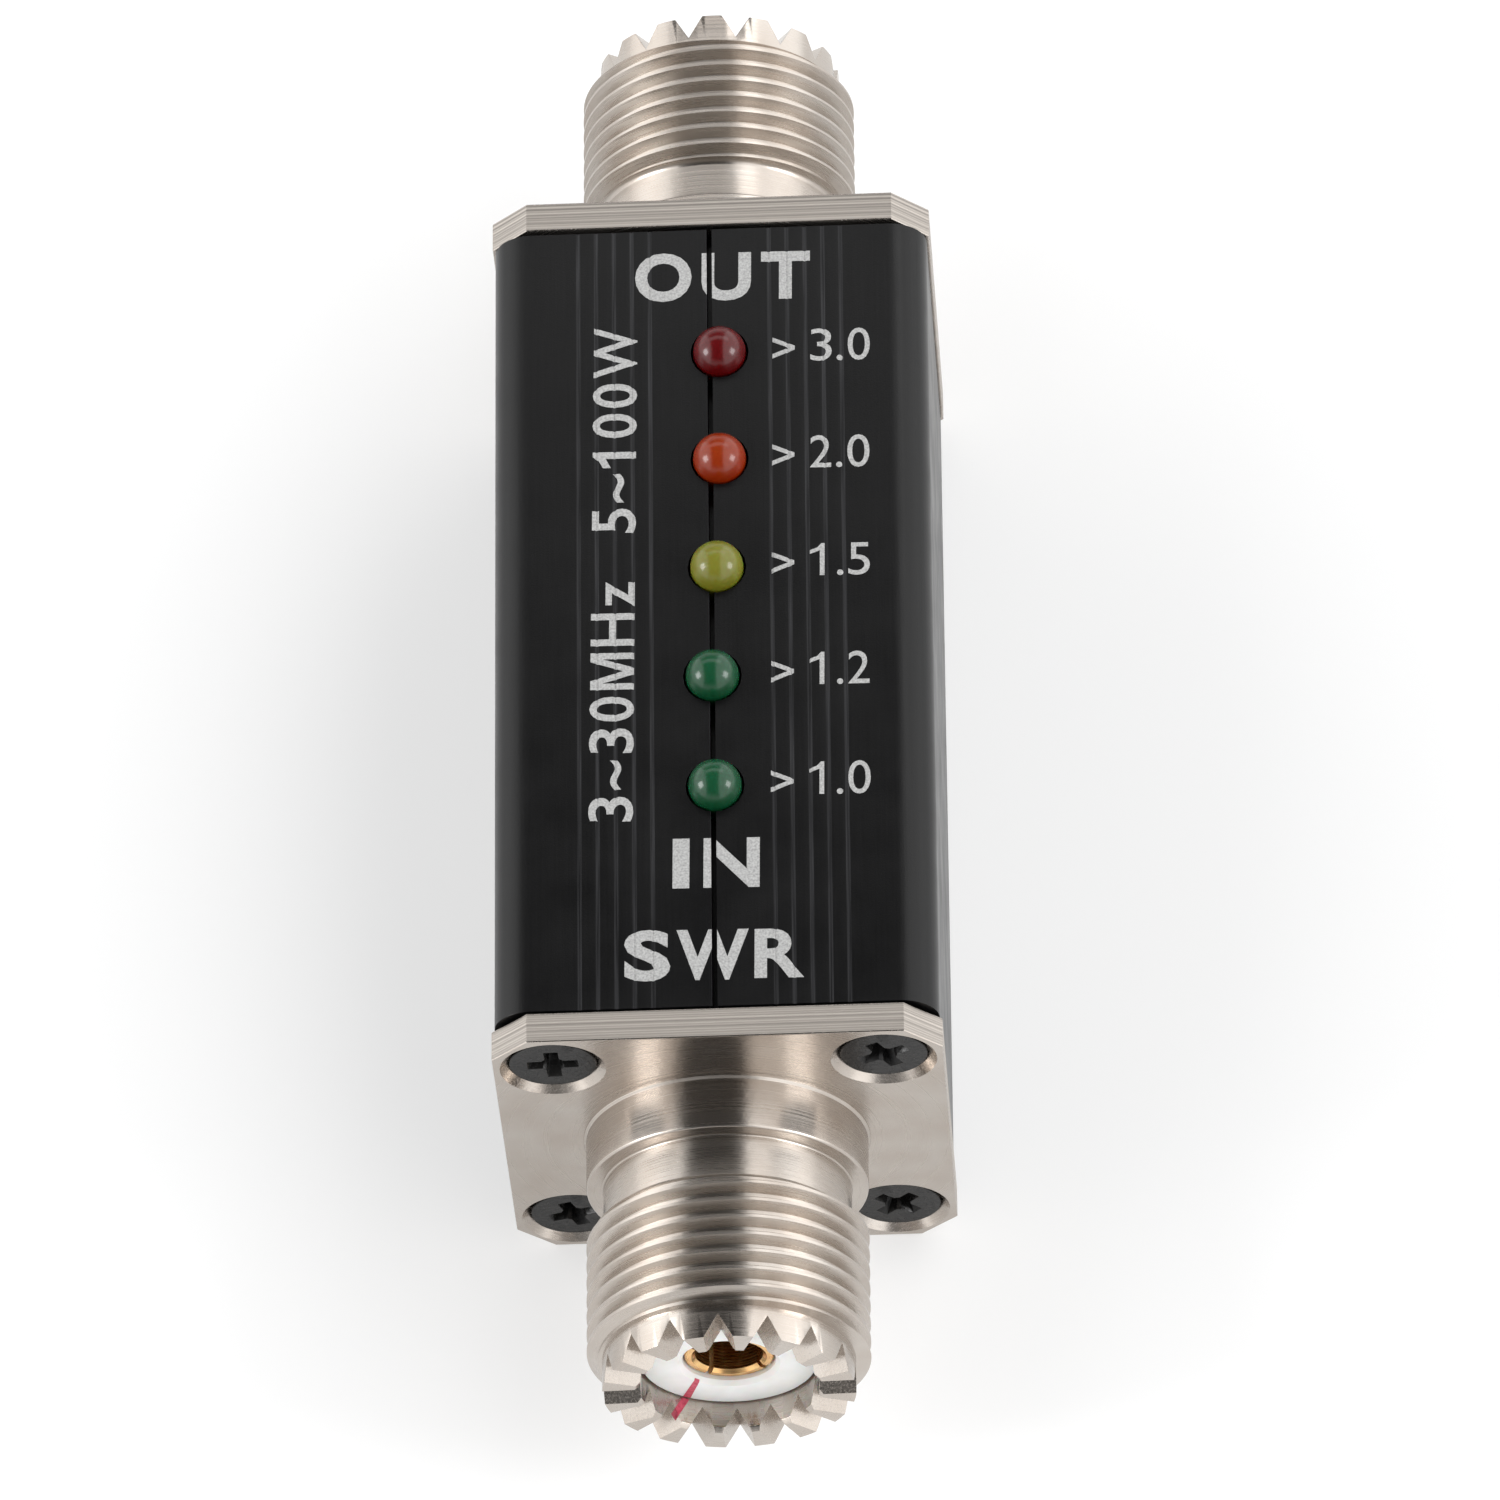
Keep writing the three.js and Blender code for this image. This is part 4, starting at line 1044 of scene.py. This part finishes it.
def pen_film(name, bar, solid, lift):
    """The part of a bar that lies within a thin layer lifted off a solid."""
    raised = duplicate(solid, "raised")
    raised.data.transform(Matrix.Translation(lift))
    combine(bar, raised, "INTERSECT")
    combine(bar, solid, keep=True)
    bar.name = bar.data.name = name
    return bar


def inspection_mark(body, plug):
    """A red pen stroke from beside the contact, over the insulator and the ring's inner wall."""
    ink = pen_ink()
    forward = Vector((0, -1, 0))
    outward = Vector((math.sin(PEN_TURN), 0, math.cos(PEN_TURN)))
    side = Vector((outward.z, 0, -outward.x))
    centre = Vector((0, -FLANGE_FACE, AXIS_HEIGHT)) + side * PEN_ASIDE

    def stroke(name, solid, start, end, start_share, depth, reach, lift):
        """Inks a solid where a bar from start to end, drawn at a depth and pulled, meets it."""
        across = side * PEN_WIDTH / 2
        near, far = (centre + outward * along + forward * depth for along in (start, end))
        outline = [near - across * start_share, near + across * start_share, far + across, far - across]
        bar = drawn_bar(name, outline, reach)
        hand_in(pen_film(name, bar, solid, lift * PEN_THICKNESS), ink, "pen_mark")

    stroke("pen_mark_on_insulator", plug, PEN_START, PEN_END, PEN_START_SHARE,
           INSULATOR_FACE - PEN_CUT_OVER, forward * PEN_CUT_OVER * 2, forward)
    stroke("pen_mark_on_ring", body, MOUTH_RADIUS - PEN_CUT_UNDER, MOUTH_RADIUS + PEN_CUT_OVER, 1,
           INSULATOR_FACE, side * PEN_LEAN + forward * PEN_RISE, -outward)


# ---------------------------------------------------------------- lamps


def lamp(number, material, slot):
    """A flanged lens with a round dome, stood on its CAD lamp's place."""
    low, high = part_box(f"lamp_{number}")
    height = high.z - low.z
    dome = height - LAMP_RADIUS
    curve = [
        (LAMP_RADIUS * math.cos(tilt), dome + LAMP_RADIUS * math.sin(tilt))
        for tilt in (math.radians(90) * step / DOME_STEPS for step in range(DOME_STEPS))
    ]
    piece = turned(f"lamp_lens_{number}", [
        (0, 0), (LAMP_FLANGE_RADIUS, 0), (LAMP_FLANGE_RADIUS, LAMP_FLANGE_HEIGHT),
        (LAMP_RADIUS, LAMP_FLANGE_HEIGHT), *curve, (0, height),
    ], SMALL_STEPS)
    piece.matrix_world = (Matrix.Translation(((low.x + high.x) / 2, (low.y + high.y) / 2, low.z))
                          @ Matrix.Rotation(math.radians(90), 4, "X"))
    settle(piece)
    smooth(piece, limit=40)
    hand_in(piece, material, slot, f"lamp_{number}")


def make_lamps():
    lenses = {tint: lamp_lens(tint) for tint in LENS_TINTS}
    for number, tint in enumerate(LAMP_TINTS, start=1):
        lamp(number, lenses[tint], f"lamp_{tint}")


# ---------------------------------------------------------------- parts inside

INSIDE_FINISHES = {               # colour, roughness, metal, words in the nodes' names
    "tinned_wire": ((0.62, 0.62, 0.62), 0.32, 1.0, ("lead", "through_line", "line_tap_wire")),
    "board_laminate": ((0.02, 0.12, 0.04), 0.4, 0.0, ("circuit_board",)),
    "ferrite": ((0.045, 0.045, 0.05), 0.6, 0.0, ("transformer_core",)),
    "enamelled_wire": ((0.45, 0.12, 0.03), 0.3, 0.6, ("transformer_winding",)),
    "chip_black": ((0.018, 0.018, 0.019), 0.5, 0.0, ("chip", "resistor")),
    "ceramic": ((0.5, 0.36, 0.2), 0.55, 0.0, ("filter_capacitor",)),
    "diode_glass": ((0.45, 0.14, 0.05), 0.2, 0.0, ("diode",)),
    "capacitor_sleeve": ((0.015, 0.03, 0.08), 0.4, 0.0, ("storage_capacitor",)),
    "sleeve_ptfe": ((0.85, 0.85, 0.84), 0.45, 0.0, ("line_sleeve",)),
}


def finish_inside_parts():
    """The parts inside keep their CAD shapes and get their own finishes."""
    for name, (colour, roughness, metallic, words) in INSIDE_FINISHES.items():
        material = plain_part(name, colour, roughness, metallic)
        for node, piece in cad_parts.items():
            if any(word in node for word in words):
                give_materials(piece, material)


# ---------------------------------------------------------------- studio


def make_floor():
    """A plain pale floor that glows a little, so that the shadow on it stays light."""
    bpy.ops.object.select_all(action="DESELECT")
    bpy.ops.mesh.primitive_plane_add(size=FLOOR_SIZE)
    floor = bpy.context.object
    floor.name = "studio_floor"
    finish = Finish("studio_white", FLOOR_TONES[0], 0.9, Specular_IOR_Level=0.1,
                    Emission_Color=(1, 1, 1, 1), Emission_Strength=FLOOR_GLOW)
    finish.two_tone(finish.noise(FLOOR_CLOUD), *FLOOR_TONES)
    floor.data.materials.append(finish.material)


def make_light(name, where, size, power, aim):
    """A rectangular softbox turned towards a point."""
    bpy.ops.object.light_add(type="AREA", location=where)
    light = bpy.context.object
    light.name = name
    light.data.shape = "RECTANGLE"
    light.data.size, light.data.size_y = size
    light.data.energy = power
    light.visible_camera = False
    light.rotation_euler = (Vector(aim) - Vector(where)).to_track_quat("-Z", "Y").to_euler()


def make_world():
    """White all round, but for a dark strip overhead that runs along the meter."""
    world = bpy.data.worlds.new("studio")
    bpy.context.scene.world = world
    world.use_nodes = True
    tree = world.node_tree

    def ranged(source, start, stop, low, high):
        """Takes a value that runs from start to stop, and eases it from low to high."""
        made = tree.nodes.new("ShaderNodeMapRange")
        made.interpolation_type = "SMOOTHSTEP"
        for name, value in zip(("From Min", "From Max", "To Min", "To Max"), (start, stop, low, high)):
            made.inputs[name].default_value = value
        tree.links.new(source, made.inputs["Value"])
        return made.outputs["Result"]

    def maths(operation, first, second):
        """A sum on two values, each a socket or a plain number."""
        made = tree.nodes.new("ShaderNodeMath")
        made.operation = operation
        for socket, value in zip(made.inputs, (first, second)):
            if isinstance(value, float):
                socket.default_value = value
            else:
                tree.links.new(value, socket)
        return made.outputs[0]

    parts = tree.nodes.new("ShaderNodeSeparateXYZ")
    tree.links.new(tree.nodes.new("ShaderNodeTexCoord").outputs["Generated"], parts.inputs[0])
    from_strip = maths("ABSOLUTE", maths("ADD", parts.outputs["X"], STRIP_MIDDLE), 0.0)
    beside = ranged(from_strip, STRIP_HALF - STRIP_BLUR, STRIP_HALF + STRIP_BLUR,
                    STRIP_LIGHT, SIDE_LIGHT)
    low_down = ranged(parts.outputs["Z"], *HORIZON_RISE, HORIZON_LIGHT, STRIP_LIGHT)
    tree.links.new(maths("MAXIMUM", beside, low_down), tree.nodes["Background"].inputs["Strength"])
    tree.nodes["Background"].inputs["Color"].default_value = (1, 1, 1, 1)


def make_camera():
    """Looks down on the lamp face from the IN end, from far off with a long lens."""
    base = Matrix.Rotation(math.radians(90) - CAMERA_ELEVATION, 3, "X")
    tilt = Matrix.Rotation(CAMERA_TILT.length, 3, CAMERA_TILT.normalized())
    axes = base @ tilt
    right, up, back = axes.col
    middle = Vector((0, 0, AXIS_HEIGHT))
    where = middle - right * AIM_OFFSET[0] - up * AIM_OFFSET[1] + back * CAMERA_DISTANCE
    data = bpy.data.cameras.new("view")
    data.lens = LENS
    data.sensor_width = SENSOR
    data.clip_end = CAMERA_REACH
    camera = bpy.data.objects.new("view", data)
    camera.matrix_world = Matrix.Translation(where) @ axes.to_4x4()
    bpy.context.scene.collection.objects.link(camera)
    bpy.context.scene.camera = camera


def make_studio():
    make_floor()
    make_world()
    for light in LIGHTS:
        make_light(*light)
    make_camera()
    bpy.context.scene.view_settings.view_transform = "Standard"


# ---------------------------------------------------------------- the whole meter

make_studio()
make_housing()
make_sockets()
make_lamps()
finish_inside_parts()
